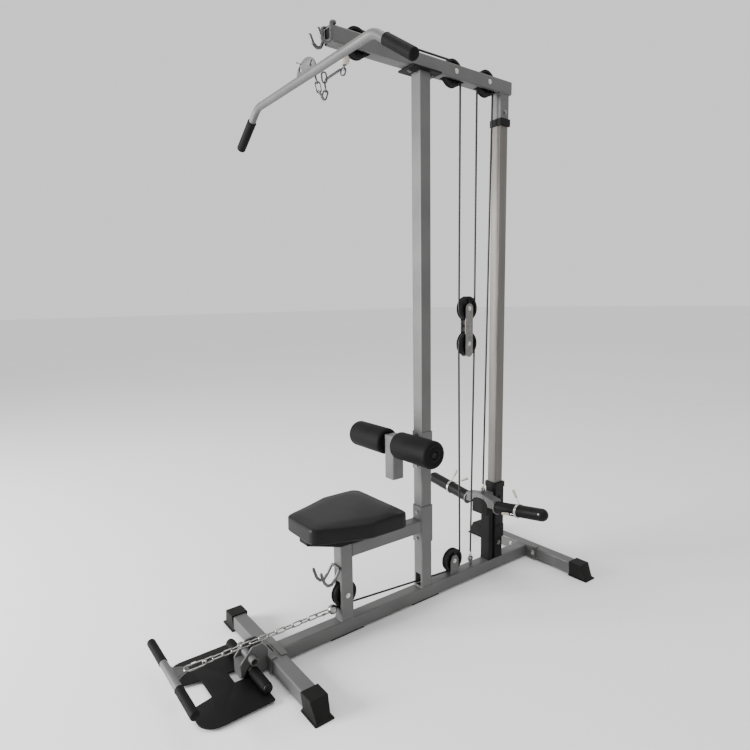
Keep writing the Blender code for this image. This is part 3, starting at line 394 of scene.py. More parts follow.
def studio():
    world = bpy.data.worlds.new("studio")
    world.use_nodes = True
    world.node_tree.nodes["Background"].inputs["Color"].default_value = (1, 1, 1, 1)
    world.node_tree.nodes["Background"].inputs["Strength"].default_value = 1.0
    bpy.context.scene.world = world
    soft_light("key", (-1.9, -4.9, 1.7), (0, 0, 0.8), 2.2, 620)
    soft_light("top", (0.3, 0.2, 4.6), (0, 0, 0.8), 2.6, 60)
    mesh = bpy.data.meshes.new("floor")
    mesh.from_pydata([(-60, -60, 0), (60, -60, 0), (60, 60, 0), (-60, 60, 0)], [], [(0, 1, 2, 3)])
    mesh.materials.append(surface("pale_floor", ((0.86, 0.86, 0.86), (0.88, 0.88, 0.88)), (0.80, 0.90),
                                  mottle=0.4, grain=60, relief=0.0001))
    floor = bpy.data.objects.new("floor", mesh)
    bpy.context.scene.collection.objects.link(floor)


# ---- cables ------------------------------------------------------------------------

def arc(pulley, start, end, steps=16):
    """Points of a cable round a pulley, by angle in the YZ plane."""
    y, z = PULLEYS[pulley]
    turns = [math.radians(start + (end - start) * step / steps) for step in range(steps + 1)]
    return [(0, y + CABLE_RUN * math.cos(turn), z + CABLE_RUN * math.sin(turn)) for turn in turns]


def cable(name, path, body=None, replaces=()):
    return piece(name, [swept(path, CABLE_RADIUS, 12, round_ends=False)], "cable_jacket", body, replaces)


def stretching(name, fixed, moving):
    """Straight run from a fixed point to where the moving end stands, baked in place."""
    run = cable(name, [fixed, moving])
    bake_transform(run)


def shortening(name, fixed, moving):
    """Straight upright run between two points, on the frame."""
    run = cable(name, [fixed, moving], "frame")
    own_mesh(run)


def cables():
    front_y = PULLEYS["top_front"][0] - CABLE_RUN
    block_front_y = BLOCK_Y - CABLE_RUN
    block_rear_y = BLOCK_Y + CABLE_RUN
    upper_z = PULLEYS["block_upper"][1]
    lower_z = PULLEYS["block_lower"][1]
    ball_top = LAT_BALL + Vector((0, 0, BALL_RADIUS - 0.001))
    stretching("cable_to_lat_ball", (0, front_y, BOOM_Z), ball_top)
    over = arc("top_front", 180, 90) + arc("top_mid", 90, 0)
    cable("cable_over_front_pulleys", over, "frame", ["lat_cable"])
    stretching("cable_to_block_front", (0, PULLEYS["top_mid"][0] + CABLE_RUN, BOOM_Z),
               (0, block_front_y, upper_z))
    cable("cable_under_block", arc("block_upper", 180, 360, 24), "block")
    stretching("cable_to_block_rear", (0, PULLEYS["top_rear"][0] - CABLE_RUN, BOOM_Z),
               (0, block_rear_y, upper_z))
    cable("cable_over_rear_pulley", arc("top_rear", 180, 0, 24), "frame")
    rear_y = PULLEYS["top_rear"][0] + CABLE_RUN
    end_z = 0.394
    run = cable("cable_to_carriage", [(0, rear_y, BOOM_Z), (0, CARRIAGE_Y, end_z)], "frame",
                ["carriage_cable"])
    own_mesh(run)

    seat_low = (0, SEAT_POST_Y, PULLEYS["low_front"][1] - CABLE_RUN)
    ball_rear = ROW_BALL + Vector((0, BALL_RADIUS - 0.001, 0.001))
    stretching("cable_to_row_ball", seat_low, ball_rear)
    cable("cable_along_base", arc("low_front", 270, 282, 4) + arc("low_rear", 266, 360, 12), "frame",
          ["row_cable"])
    low_y, low_z = PULLEYS["low_rear"]
    shortening("cable_to_block_lower", (0, low_y + CABLE_RUN, low_z), (0, block_front_y, lower_z))
    cable("cable_over_block", arc("block_lower", 180, 0, 24), "block", ["block_cable"])
    shortening("cable_to_base_eye", (0, 0.4365, 0.1030), (0, block_rear_y, lower_z))


def crimp(name, low, high, body):
    """Pressed ferrule on a cable's end."""
    low, high = Vector(low), Vector(high)
    length = (high - low).length
    profile = [(0, 0), (0.0046, 0), (0.0052, 0.001), (0.0052, length - 0.001), (0.0046, length), (0, length)]
    piece(name, [turned(profile, low, high - low, 20)], "bright_steel", body)


# ---- chains -------------------------------------------------------------------------

def oval_link(centre, along, across, length, width, wire):
    """Stadium of round wire. Length and width are of its centreline."""
    along, across = Vector(along).normalized(), Vector(across)
    across = (across - along * across.dot(along)).normalized()
    bend = width / 2
    straight = length / 2 - bend
    loop = []
    for side in (1, -1):
        for step in range(9):
            turn = math.radians(-90 + 22.5 * step)
            loop.append(Vector(centre) + along * side * (straight + bend * math.cos(turn))
                        + across * side * bend * math.sin(turn))
    return swept(loop, wire, 10, closed=True)


def chain_along(path, pitch, width, wire, first_across, second_across):
    """Links one after another along a path, each turned a quarter from the last."""
    path = [Vector(point) for point in path]
    spans = [(second - first).length for first, second in zip(path, path[1:])]
    total = sum(spans)
    count = max(1, round(total / pitch))
    step = total / count

    def at(distance):
        for first, second, span in zip(path, path[1:], spans):
            if distance <= span or second is path[-1]:
                return first.lerp(second, distance / span)
            distance -= span

    links = []
    for index in range(count):
        low, high = at(index * step), at((index + 1) * step)
        across = first_across if index % 2 == 0 else second_across
        links.append(oval_link((low + high) / 2, high - low, across, step + 1.6 * wire, width, wire))
    return links


def ball_stop(name, centre, axis, finish, body, replaces=()):
    """Ball with a counterbored hole at the end that the link enters."""
    rings = [math.radians(15 * step) for step in range(1, 11)]
    belt = [(BALL_RADIUS * math.sin(turn), BALL_RADIUS * math.cos(turn)) for turn in rings]
    low = belt[-1]
    profile = [(0, BALL_RADIUS), *belt, (low[0] * 0.85, low[1] - 0.001), (low[0] * 0.6, low[1] + 0.004),
               (0, low[1] + 0.005)]
    return piece(name, [turned(profile, centre, axis, 32)], finish, body, replaces)


def lat_chain():
    body = "lat_handle"
    ball_stop("lat_ball_stop", LAT_BALL, (0, 0, 1), "pale_nylon", body, ["lat_chain"])
    crimp("lat_cable_crimp", LAT_BALL + Vector((0, 0, BALL_RADIUS - 0.002)),
          LAT_BALL + Vector((0, 0, BALL_RADIUS + 0.014)), body)
    slanting = Vector((0.81, -0.59, 0))
    sideways = Vector((0.59, 0.81, 0))
    # The lat chain's links take the darker steel as painted shade for the shadow they hang in.
    links = [oval_link((0, -0.1590, 1.9180), (0, -0.10, -1), slanting, 0.022, 0.010, 0.0022),
             oval_link((0, -0.1630, 1.9020), (0, -0.30, -1), sideways, 0.025, 0.014, 0.0026)]
    piece("lat_ball_link", links, "dark_steel_and_painted_shade", body)
    bar_link = [oval_link((0, -0.2025, 1.8850), (0, -0.0512, -0.0369), slanting, 0.070, 0.011, 0.0020)]
    piece("lat_joining_link", bar_link, "dark_steel_and_painted_shade", body)
    hanging = chain_along([(0, -0.2370, 1.8830), (0, -0.2290, 1.8180), (0, -0.2400, 1.8050),
                           (0, -0.2530, 1.8130), (0, -0.2670, 1.8720), (0, -0.2900, 1.8930)],
                          0.0270, 0.0145, 0.0026,
                          sideways, slanting)
    piece("lat_chain_links", hanging, "dark_steel_and_painted_shade", body)


def row_chain():
    body = "row_handle"
    ball_stop("row_ball_stop", ROW_BALL, (0, 1, 0), "chain_steel", body, ["row_chain"])
    upright, sideways = Vector((0, 0, 1)), Vector((1, 0, 0))
    hook = oval_link((0, -0.3020, 0.1042), (0, 1, 0), sideways, 0.058, 0.0200, 0.0026)
    nut = turned([(0.0026, -0.007), (0.0048, -0.006), (0.0048, 0.006), (0.0026, 0.007)],
                 (0.0100, -0.3020, 0.1042), (0, 1, 0), 6)
    piece("row_ball_link", [hook, nut], "chain_steel", body)
    links = chain_along([(0, -0.3270, 0.1042), (0, -0.7270, 0.1012)], 0.0300, 0.0145, 0.0026,
                        upright, sideways)
    piece("row_chain_links", links, "chain_steel", body)
    handle_link = oval_link((0, -0.7530, 0.1010), (0, 1, -0.02), sideways, 0.068, 0.0260, 0.0028)
    gate = turned([(0.0026, -0.008), (0.0048, -0.007), (0.0048, 0.007), (0.0026, 0.008)],
                  (-0.0130, -0.7530, 0.1010), (0, 1, 0), 6)
    piece("row_handle_link", [handle_link, gate], "chain_steel", body)


# ---- fasteners and welds ---------------------------------------------------------------

def bolt(name, place, outward, body="frame", across=0.011, finish="zinc_plate", stem=0.0):
    """Washer and hexagon head against a face. A stem makes it a nut with the thread's end."""
    radius = across / 2 / math.cos(math.pi / 6)
    washer = across * 0.82
    height = across * 0.42
    shapes = [turned([(0, 0), (washer, 0), (washer, 0.0010), (washer - 0.0004, 0.0014), (0, 0.0014)],
                     place, outward, 28),
              turned([(0, 0.0014), (radius * 0.96, 0.0014), (radius, 0.0020), (radius, height - 0.0008),
                      (radius * 0.86, height), (0, height)], place, outward, 6)]
    if stem:
        thread = radius * 0.52
        shapes.append(turned([(0, height), (thread, height), (thread, height + stem - 0.0006),
                              (thread - 0.0006, height + stem), (0, height + stem)], place, outward, 16))
    return piece(name, shapes, finish, body, sharp=30)


def weld(name, path, closed=False, radius=0.0022, body="frame"):
    """Rippled bead along a seam."""
    path = [Vector(point) for point in path]
    ends = path + path[:1] if closed else path
    dense = []
    for first, second in zip(ends, ends[1:]):
        count = max(1, int((second - first).length / 0.0022))
        dense += [first.lerp(second, step / count) for step in range(count)]
    if not closed:
        dense.append(ends[-1])
    piece(name, [swept(dense, radius, 8, closed=closed, ripple=0.22)], "frame_paint", body)


def square_seam(centre, axis, half):
    """Corners of a tube's outline against the face it meets."""
    corners = fillet([(-half, -half), (half, -half), (half, half), (-half, half)], 0.006, 3, closed=True)
    place = Matrix.Translation(centre) @ FACING[axis].to_4x4()
    return [place @ Vector((u, v, 0)) for u, v in corners]


def fasteners():
    for label, x_side in SIDES:
        x = x_side * 0.046
        bolt(f"front_foot_bolt_{label}", (x, FRONT_FOOT_Y - HALF, 0.034), (0, -1, 0))
        bolt(f"front_foot_nut_{label}", (x, FRONT_FOOT_Y + HALF + 0.004, 0.034), (0, 1, 0), stem=0.005)
        x = x_side * 0.060
        bolt(f"rear_foot_bolt_{label}", (x, REAR_FOOT_Y - HALF - 0.004, 0.034), (0, -1, 0), across=0.013,
             finish="bright_steel")
        bolt(f"rear_foot_nut_{label}", (x, REAR_FOOT_Y + HALF, 0.034), (0, 1, 0), stem=0.005)
    for label, z in (("seat_upper", 0.364), ("seat_lower", 0.257), ("knee_upper", 0.6735),
                     ("knee_lower", 0.550)):
        bolt(f"{label}_bolt", (0, UPRIGHT_Y - SLEEVE / 2, z), (0, -1, 0))
        bolt(f"{label}_nut", (0, UPRIGHT_Y + SLEEVE / 2, z), (0, 1, 0), stem=0.005)
    bolt("rear_stub_bolt", (HALF, GUIDE_Y, 1.901), (1, 0, 0), across=0.012)
    bolt("rear_stub_nut", (-HALF, GUIDE_Y, 1.901), (-1, 0, 0), across=0.012, stem=0.004)
    bolt("socket_bolt", (HALF, GUIDE_Y, 0.124), (1, 0, 0), across=0.013)
    bolt("socket_nut", (-HALF, GUIDE_Y, 0.124), (-1, 0, 0), across=0.013, stem=0.005)
    bolt("socket_rear_bolt", (0, GUIDE_Y + HALF, 0.088), (0, 1, 0), across=0.013)
    bolt("head_bolt_front", (0, UPRIGHT_Y - 0.048, 1.9650), (0, 0, -1), across=0.013,
         finish="dark_steel_and_painted_shade")
    bolt("head_bolt_rear", (0, UPRIGHT_Y + 0.045, 1.9650), (0, 0, -1), across=0.013, finish="dark_steel_and_painted_shade")


def axle_bolts():
    for name, (y, z) in PULLEYS.items():
        in_plates = name not in ("top_front", "top_mid", "top_rear", "low_front")
        body = "block" if name.startswith("block") else "frame"
        face = 0.0146 if in_plates else HALF
        if name == "low_rear":
            face = 0.0150
        rod = turned([(0, -face), (0.0050, -face), (0.0050, face), (0, face)], (0, y, z), X_AXIS, 20)
        piece(f"axle_{name}_pin", [rod], "bright_steel", body, [f"axle_{name}"])
        bolt(f"axle_{name}_head", (face, y, z), (1, 0, 0), body, across=0.011, finish="bright_steel")
        bolt(f"axle_{name}_nut", (-face, y, z), (-1, 0, 0), body, across=0.012, stem=0.004)


def welds():
    weld("seat_post_foot_weld", square_seam((0, SEAT_POST_Y, DECK_Z + 0.001), "Z", HALF), closed=True)
    weld("upright_foot_weld", square_seam((0, UPRIGHT_Y, DECK_Z + 0.001), "Z", HALF), closed=True)
    weld("rail_sleeve_weld", square_seam((0, UPRIGHT_Y - SLEEVE / 2, 0.312), "Y", HALF), closed=True)
    weld("arm_sleeve_weld", square_seam((0, UPRIGHT_Y - SLEEVE / 2, 0.640), "Y", HALF), closed=True)
    weld("arm_tube_weld", square_seam((0, KNEE_TUBE_Y + HALF, 0.640), "Y", HALF), closed=True)
    weld("rear_stub_weld", square_seam((0, GUIDE_Y, BOOM_Z - HALF - 0.0005), "Z", HALF), closed=True)
    for label, side in SIDES:
        x = side * HALF
        weld(f"rail_post_weld_{label}", [(x, SEAT_POST_Y + HALF, 0.290), (x, SEAT_POST_Y + HALF, 0.336)])
        weld(f"stub_weld_{label}", [(side * 0.0285, FRONT_FOOT_Y - HALF - 0.0005, 0.012),
                                    (side * 0.0285, FRONT_FOOT_Y - HALF - 0.0005, 0.056)])
        weld(f"ear_weld_{label}", [(side * 0.0155, 0.3080, DECK_Z + 0.0005),
                                   (side * 0.0155, 0.3490, DECK_Z + 0.0005)], radius=0.0018)


# ---- wheels, rollers and grips ------------------------------------------------------------

def pulley(name, body):
    """Grooved wheel with a dished web, ribs and a pressed steel bush."""
    y, z = PULLEYS[name]
    rim, floor, dish = 0.0078, 0.0026, 0.0058
    outer = [(PULLEY_RADIUS - 0.0010, -PULLEY_HALF), (PULLEY_RADIUS, -PULLEY_HALF + 0.0010),
             (PULLEY_RADIUS, -rim), (PULLEY_RADIUS - 0.0015, -rim + 0.0008), (0.0414, -floor - 0.0006),
             (0.0402, 0), (0.0414, floor + 0.0006), (PULLEY_RADIUS - 0.0015, rim - 0.0008),
             (PULLEY_RADIUS, rim), (PULLEY_RADIUS, PULLEY_HALF - 0.0010),
             (PULLEY_RADIUS - 0.0010, PULLEY_HALF)]
    face = [(0.0385, PULLEY_HALF), (0.0370, dish), (0.0165, dish), (0.0150, PULLEY_HALF),
            (0.0112, PULLEY_HALF)]
    profile = outer + face + [(radius, -height) for radius, height in reversed(face)]
    shapes = [turned(profile, (0, y, z), X_AXIS, 56, ring=True)]
    for step in range(6):
        turn = Matrix.Rotation(math.radians(60 * step), 3, "X")
        for side in (-1, 1):
            low = Vector((min(side * (dish - 0.001), side * (PULLEY_HALF - 0.001)), -0.0011, 0.0155))
            high = Vector((max(side * (dish - 0.001), side * (PULLEY_HALF - 0.001)), 0.0011, 0.0380))
            points, faces = block(low, high, 0.0003)
            shapes.append(([turn @ point + Vector((0, y, z)) for point in points], faces))
    piece(f"wheel_{name}_body", shapes, "black_plastic", body, [f"pulley_{name}"])
    bush = [(0.0112, -PULLEY_HALF), (0.0112, PULLEY_HALF), (0.0056, PULLEY_HALF), (0.0056, -PULLEY_HALF)]
    piece(f"wheel_{name}_bush", [turned(bush, (0, y, z), X_AXIS, 32, ring=True)], "bright_steel", body)


def knee_roller(label, side):
    inner, outer, radius = ROLLER_INNER_X, ROLLER_OUTER_X, ROLLER_RADIUS
    middle, half = side * (inner + outer) / 2, (outer - inner) / 2
    corner = [(radius - 0.012 + 0.012 * math.cos(turn), half - 0.012 + 0.012 * math.sin(turn))
              for turn in (math.radians(15 * step) for step in range(7))]
    face = [(0.0300, half - 0.0006), (0.0285, half - 0.0022), (0.0268, half - 0.0006), (0.0150, half),
            (0.0130, half - 0.0060), (0.0072, half - 0.0064)]
    around = corner + face
    profile = [(r, -h) for r, h in reversed(around)] + around
    sleeve = turned(profile, (middle, ROLLER_Y, ROLLER_Z), X_AXIS, 72, ring=True)
    roller = piece(f"roller_{label}_foam", [sleeve], "black_foam", f"roller_{label}",
                   [f"knee_roller_{label}"], sharp=50)


def knee_axle():
    shaft = turned([(0, -0.2160), (0.0066, -0.2160), (0.0066, 0.2160), (0, 0.2160)], (0, ROLLER_Y, ROLLER_Z),
                   X_AXIS, 24)
    piece("knee_axle_shaft", [shaft], "zinc_plate", "frame", ["knee_axle"])
    for label, side in SIDES:
        cap = [(0, 0.2155), (0.0118, 0.2155), (0.0118, 0.2200), (0.0105, 0.2213), (0.0055, 0.2195),
               (0, 0.2191)]
        piece(f"knee_axle_cap_{label}", [turned(cap, (0, ROLLER_Y, ROLLER_Z), (side, 0, 0), 32)],
              "black_plastic", "frame")


def peg(label, side):
    inner, outer, radius = PEG_FOAM_INNER_X, PEG_FOAM_OUTER_X, PEG_FOAM_RADIUS
    middle, half = side * (inner + outer) / 2, (outer - inner) / 2
    corner = [(radius - 0.003 + 0.003 * math.cos(turn), half - 0.003 + 0.003 * math.sin(turn))
              for turn in (math.radians(30 * step) for step in range(4))]
    profile = [(r, -h) for r, h in reversed(corner)] + corner + [(0.0086, half), (0.0086, -half)]
    foam = piece(f"peg_{label}_foam", [turned(profile, (middle, PEG_Y, PEG_Z), X_AXIS, 40, ring=True)],
                 "black_foam", "frame", [f"peg_foam_{label}"])
    cap = [(0, 0.1400), (0.0150, 0.1400), (0.0150, 0.1450), (0.0135, 0.1470), (0, 0.1482)]
    piece(f"peg_{label}_cap", [turned(cap, (0, PEG_Y, PEG_Z), (side, 0, 0), 32)], "black_plastic", "frame")
    collar = [(0.0082, 0.0320), (0.0135, 0.0320), (0.0142, 0.0327), (0.0142, 0.0394), (0.0135, 0.0401),
              (0.0082, 0.0401)]
    piece(f"peg_{label}_collar", [turned(collar, (0, PEG_Y, PEG_Z), (side, 0, 0), 32, ring=True)],
          "bright_steel", "frame")


def end_grip(name, tip, outward, length, inner, radius, body, replaces):
    """Foam grip with a rounded mouth and a domed end cap."""
    dome = [(0, 0.0030), (radius * 0.55, 0.0028), (radius * 0.86, 0.0016), (radius, -0.0022)]
    barrel = []
    ribs = int((length - 0.012) / 0.004)
    for step in range(ribs):
        height = -0.006 - (length - 0.012) * step / ribs
        barrel += [(radius, height), (radius - 0.00035, height - 0.0012), (radius, height - 0.0024)]
    mouth = [(radius, -length + 0.004), (radius + 0.0006, -length + 0.0025),
             (radius - 0.0006, -length + 0.0004), (inner, -length)]
    piece(name, [turned(dome + barrel + mouth, tip, outward, 40)], "black_foam", body, replaces,
          sharp=60)


def grips():
    for label, side in SIDES:
        end = Vector((side * LAT_END[0], LAT_Y, LAT_END[1]))
        bend = Vector((side * LAT_BEND_X, LAT_Y, LAT_Z))
        end_grip(f"lat_grip_{label}_foam", end, end - bend, 0.128, LAT_RADIUS, 0.0160, "lat_handle",
                 [f"lat_grip_{label}"])
        end_grip(f"row_grip_{label}_foam", (side * ROW_END_X, ROW_Y, ROW_Z), (side, 0, 0), 0.132, 0.0120,
                 0.0135, "row_handle", [f"row_grip_{label}"])


# ---- handles ---------------------------------------------------------------------------------

def lat_bar():
    body = "lat_handle"
    ends = [Vector((side * LAT_END[0], LAT_Y, LAT_END[1])) for side in (-1, 1)]
    bends = [Vector((side * LAT_BEND_X, LAT_Y, LAT_Z)) for side in (-1, 1)]
    path = fillet([ends[0], bends[0], bends[1], ends[1]], 0.070, 14)
    piece("lat_bar_tube", [swept(path, LAT_RADIUS, 36, round_ends=False)], "frame_paint", body, ["lat_bar"])
    reach = 0.056
    rim = [(reach * math.cos(math.radians(turn)), 0.006 + 0.0455 * math.sin(math.radians(turn)))
           for turn in range(0, 181, 6)]
    slots = []
    for x, tilt in ((-0.033, 38), (0.033, -38)):
        turn = Matrix.Rotation(math.radians(tilt), 2)
        outline = fillet([(-0.006, -0.0100), (0.006, -0.0100), (0.006, 0.0100), (-0.006, 0.0100)], 0.0058, 5,
                         closed=True)
        slots.append([Vector((x, 0.0265)) + turn @ point for point in outline])
    piece("hanger_plate", [flat([rim, *slots], 0.006, "Y", (0, LAT_Y, LAT_Z))], "frame_paint", body)
    seam = [(x, LAT_Y - 0.0035, LAT_Z + 0.0118) for x in (-0.053, 0.053)]
    weld("hanger_weld_front", seam, body=body, radius=0.0018)
    weld("hanger_weld_rear", [(x, LAT_Y + 0.0035, z) for x, _, z in seam], body=body, radius=0.0018)
    pin = swept([(-0.026, LAT_Y - 0.004, LAT_Z + 0.0420), (-0.044, LAT_Y - 0.008, LAT_Z + 0.0505)],
                0.0018, 12)
    piece("hanger_pin", [pin], "dark_steel_and_painted_shade", body)


def row_handle():
    body = "row_handle"
    bar = turned([(0, -ROW_END_X), (0.0120, -ROW_END_X), (0.0120, ROW_END_X), (0, ROW_END_X)],
                 (0, ROW_Y, ROW_Z), X_AXIS, 40)
    piece("row_handle_tube", [bar], "frame_paint", body, ["row_handle"])
    outline = fillet([(-0.040, ROW_Y + 0.004), (0.040, ROW_Y + 0.004), (0.011, ROW_APEX_Y + 0.010),
                      (-0.011, ROW_APEX_Y + 0.010)], (0.003, 0.003, 0.008, 0.008), 5, closed=True)
    bracket = flat([outline, circle(0.0055, (0, ROW_APEX_Y))], 0.005, "Z", (0, 0, ROW_Z))
    piece("row_handle_bracket", [bracket], "dark_steel_and_painted_shade", body)
    for label, z in (("top", 0.0033), ("under", -0.0033)):
        ends = [(x, ROW_Y + 0.0118, ROW_Z + z) for x in (-0.038, 0.038)]
        weld(f"bracket_weld_{label}", ends, body=body, radius=0.0016)


def hooks():
    routes = {"hook_upper": [(-0.2665, 1.9940), (-0.2570, 1.9725), (-0.2430, 1.9625), (-0.2290, 1.9665),
                             (-0.2216, 1.9820), (-0.2216, 2.0278), (-0.2040, 2.0278)],
              "hook_lower": [(-0.3180, 0.2630), (-0.3060, 0.2280), (-0.2930, 0.2130), (-0.2770, 0.2120),
                             (-0.2620, 0.2290), (-0.2416, 0.2590)]}
    for node, route in routes.items():
        whole = [(HALF, *point) for point in route] + [(-HALF, *point) for point in reversed(route)]
        piece(f"{node}_rod", [swept(fillet(whole, 0.0078, 6), 0.0052, 16)], "dark_steel_and_painted_shade", "frame", [node])


# ---- carriage --------------------------------------------------------------------------------------

def horn(side):
    along = Vector((side * math.cos(HORN_TILT), 0, math.sin(HORN_TILT)))
    return Vector((side * HORN_ROOT[0], *HORN_ROOT[1:])), along


def horn_sleeve(label, side):
    root, along = horn(side)
    tip, start, radius = HORN_LENGTH, 0.0055, SLEEVE_RADIUS
    dome = [(radius * math.sin(turn), tip - radius + radius * math.cos(turn))
            for turn in (math.radians(9 * step) for step in range(1, 11))]
    profile = [(0, tip), *dome, (radius, start + 0.001), (radius - 0.001, start), (0.0132, start)]
    piece(f"horn_{label}_sleeve", [turned(profile, root, along, 56)], "black_plastic", "carriage",
          [f"horn_sleeve_{label}"])
    seat = root + along * (HORN_LENGTH - 0.0245)
    facing = (Vector((0, -1, 0.35))).normalized()
    bolt(f"horn_{label}_screw", seat + facing * (radius - 0.0012), facing, "carriage", across=0.005,
         finish="dark_steel_and_painted_shade")


def spring_collar(label, side):
    """Three coils of spring wire with two splayed handles in plastic sheaths."""
    root, along = horn(side)
    centre = root + along * COLLAR_ALONG
    up = Vector((0, 0.10, 1)).normalized()
    front = Vector((0, -1, -0.25)).normalized()
    back = Vector((0, 0.87, 0.50)).normalized()
    handles = {"left": ((up, 0.056, 0.024), (back, 0.050, 0.034)),
               "right": ((up, 0.050, 0.034), (front, 0.010, 0.050))}[label]
    coil_radius, wire, pitch, turns = SLEEVE_RADIUS + 0.0022, 0.0016, 0.0036, 3
    across = up
    side_way = along.cross(across).normalized()
    path = []
    for step in range(turns * 28 + 1):
        angle = 2 * math.pi * step / 28
        offset = (step / 28 - turns / 2) * pitch
        spoke = across * math.cos(angle) + side_way * math.sin(angle)
        path.append(centre + along * offset + spoke * coil_radius)
    shapes = [swept(path, wire, 10)]
    sheaths = []
    for out, rise, lean in handles:
        start = centre + out * (coil_radius + 0.0012)
        end = start + out * rise - along * lean
        shapes.append(swept([start, end], wire, 10))
        sheaths.append(swept([start.lerp(end, 0.55), end], 0.0052, 14))
    body = f"collar_{label}"
    piece(f"spring_{label}_wire", shapes, "bright_steel", body, [f"spring_collar_{label}"])
    piece(f"spring_{label}_sheaths", sheaths, "pale_nylon", body)


def carriage():
    for label, side in SIDES:
        horn_sleeve(label, side)
        spring_collar(label, side)
    crimp("carriage_crimp", (0, CARRIAGE_Y, 0.380), (0, CARRIAGE_Y, 0.398), "carriage")
    clip = oval_link((0, CARRIAGE_Y, 0.3770), (0, 0, 1), (1, 0, 0), 0.018, 0.0090, 0.0020)
    piece("carriage_clip", [clip], "bright_steel", "carriage")
    crimp("base_eye_crimp", (0, 0.4365, 0.0980), (0, 0.4365, 0.1160), "frame")
    for label, side in SIDES:
        bolt(f"slider_bolt_{label}", (side * 0.0280, GUIDE_Y, 0.330), (side, 0, 0), "carriage", across=0.011,
             finish="black_plastic")


# ---- base ----------------------------------------------------------------------------------------------

def boot(end, label, foot_y, side):
    """Flared rubber boot with a lip round its foot."""
    low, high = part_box(f"boot_{end}_{label}")
    inner, outer = (low.x, high.x) if side > 0 else (high.x, low.x)
    top = high.z
    half_floor = (high.y - low.y) / 2
    half_top = HALF + 0.0060
    shoulder = inner + side * 0.055
    rows = [(0.0, outer, half_floor), (0.0035, outer, half_floor),
            (0.0060, outer - side * 0.0060, half_floor - 0.0050),
            (0.0120, outer - side * 0.0100, half_floor - 0.0070),
            (top - 0.0020, shoulder + side * 0.0010, half_top),
            (top, shoulder - side * 0.0010, half_top - 0.0020)]
    points, faces = [], []
    for z, tip_x, half in rows:
        loop = fillet([(inner, foot_y - half), (tip_x, foot_y - half), (tip_x, foot_y + half),
                       (inner, foot_y + half)], (0.001, 0.004, 0.004, 0.001), 4, closed=True)
        points += [Vector((x, y, z)) for x, y in loop]
    width = len(points) // len(rows)
    for row in range(len(rows) - 1):
        for step in range(width):
            after = (step + 1) % width
            faces.append([row * width + step, row * width + after, (row + 1) * width + after,
                          (row + 1) * width + step])
    faces += [list(range(width)), list(range((len(rows) - 1) * width, len(rows) * width))]
    piece(f"boot_{end}_{label}_shell", [(points, faces)], "black_rubber", "frame",
          [f"boot_{end}_{label}"], sharp=28)


def base():
    for end, foot_y in (("front", FRONT_FOOT_Y), ("rear", REAR_FOOT_Y)):
        for label, side in SIDES:
            boot(end, label, foot_y, side)
    for label, low_y, high_y in (("front", -0.2815, -0.1395), ("middle", 0.0945, 0.2355)):
        piece(f"beam_pad_{label}", [block((-0.020, low_y, 0.0004), (0.020, high_y, 0.0068))], "black_rubber",
              "frame")
    foot_plate()
    mouth = [(0.0102, 0.0551), (0.0127, 0.0551), (0.0132, 0.0546), (0.0132, 0.0534), (0.0102, 0.0534)]
    for label, side in SIDES:
        piece(f"rest_tube_rim_{label}", [turned(mouth, (0, PEG_Y, 0.070), (side, 0, 0), 36, ring=True)],
              "frame_paint", "frame")
    head = fillet([(-0.0404, -0.0704), (0.0404, -0.0704), (0.0404, 0.0654), (-0.0404, 0.0654)], 0.002, 3,
                  closed=True)
    piece("head_plate", [flat([head, square_hole(HALF + 0.0002)], 0.0066, "Z", (0, UPRIGHT_Y, 1.9683))],
          "black_paint", "frame")


def square_hole(half):
    return fillet([(-half, -half), (half, -half), (half, half), (-half, half)], 0.005, 3, closed=True)


def foot_plate():
    """Plate with two rounded front tabs and two ears up beside the stub."""
    front_y, rear_y, half_x = -0.7975, -0.5765, 0.175
    ear_x = 0.0284
    corners = [(0, -0.7235), (0.047, -0.7235), (0.062, front_y), (half_x, front_y), (half_x, rear_y),
               (ear_x, rear_y), (ear_x, -0.6435), (0, -0.6435)]
    half = fillet(corners, (0, 0.007, 0.020, 0.052, 0.006, 0.001, 0.003, 0), 8)
    outline = mirrored([(point[0], point[1]) for point in half])
    shapes = [flat([outline], 0.0045, "Z", (0, 0, 0.01075), 0.0007)]
    lug = fillet([(PEG_Y - 0.032, 0.0110), (rear_y, 0.0110), (rear_y, PEG_Z + 0.010),
                  (PEG_Y - 0.008, PEG_Z + 0.014)],
                 (0.001, 0.001, 0.005, 0.006), 5, closed=True)
    for side in (-1, 1):
        shapes.append(flat([lug, circle(0.0086, (PEG_Y, PEG_Z))], 0.003, "X", (side * 0.0300, 0, 0), 0.0004))
    piece("foot_plate_sheet", shapes, "black_paint", "foot_plate", ["foot_plate"])


# ---- seat pad --------------------------------------------------------------------------------------------

def pad_outline(inset):
    """Seat outline drawn in by a margin, seen from above."""
    corners = [(0, -0.0365 - inset), (0.160 - inset, -0.0365 - inset), (0.160 - inset, -0.1900 - inset * 0.2),
               (0.086 - inset * 0.9, -0.3855 + inset), (0, -0.3855 + inset)]
    half = fillet(corners, (0, 0.030, 0.045, 0.028, 0), 8)
    return mirrored([(point[0], point[1]) for point in half])


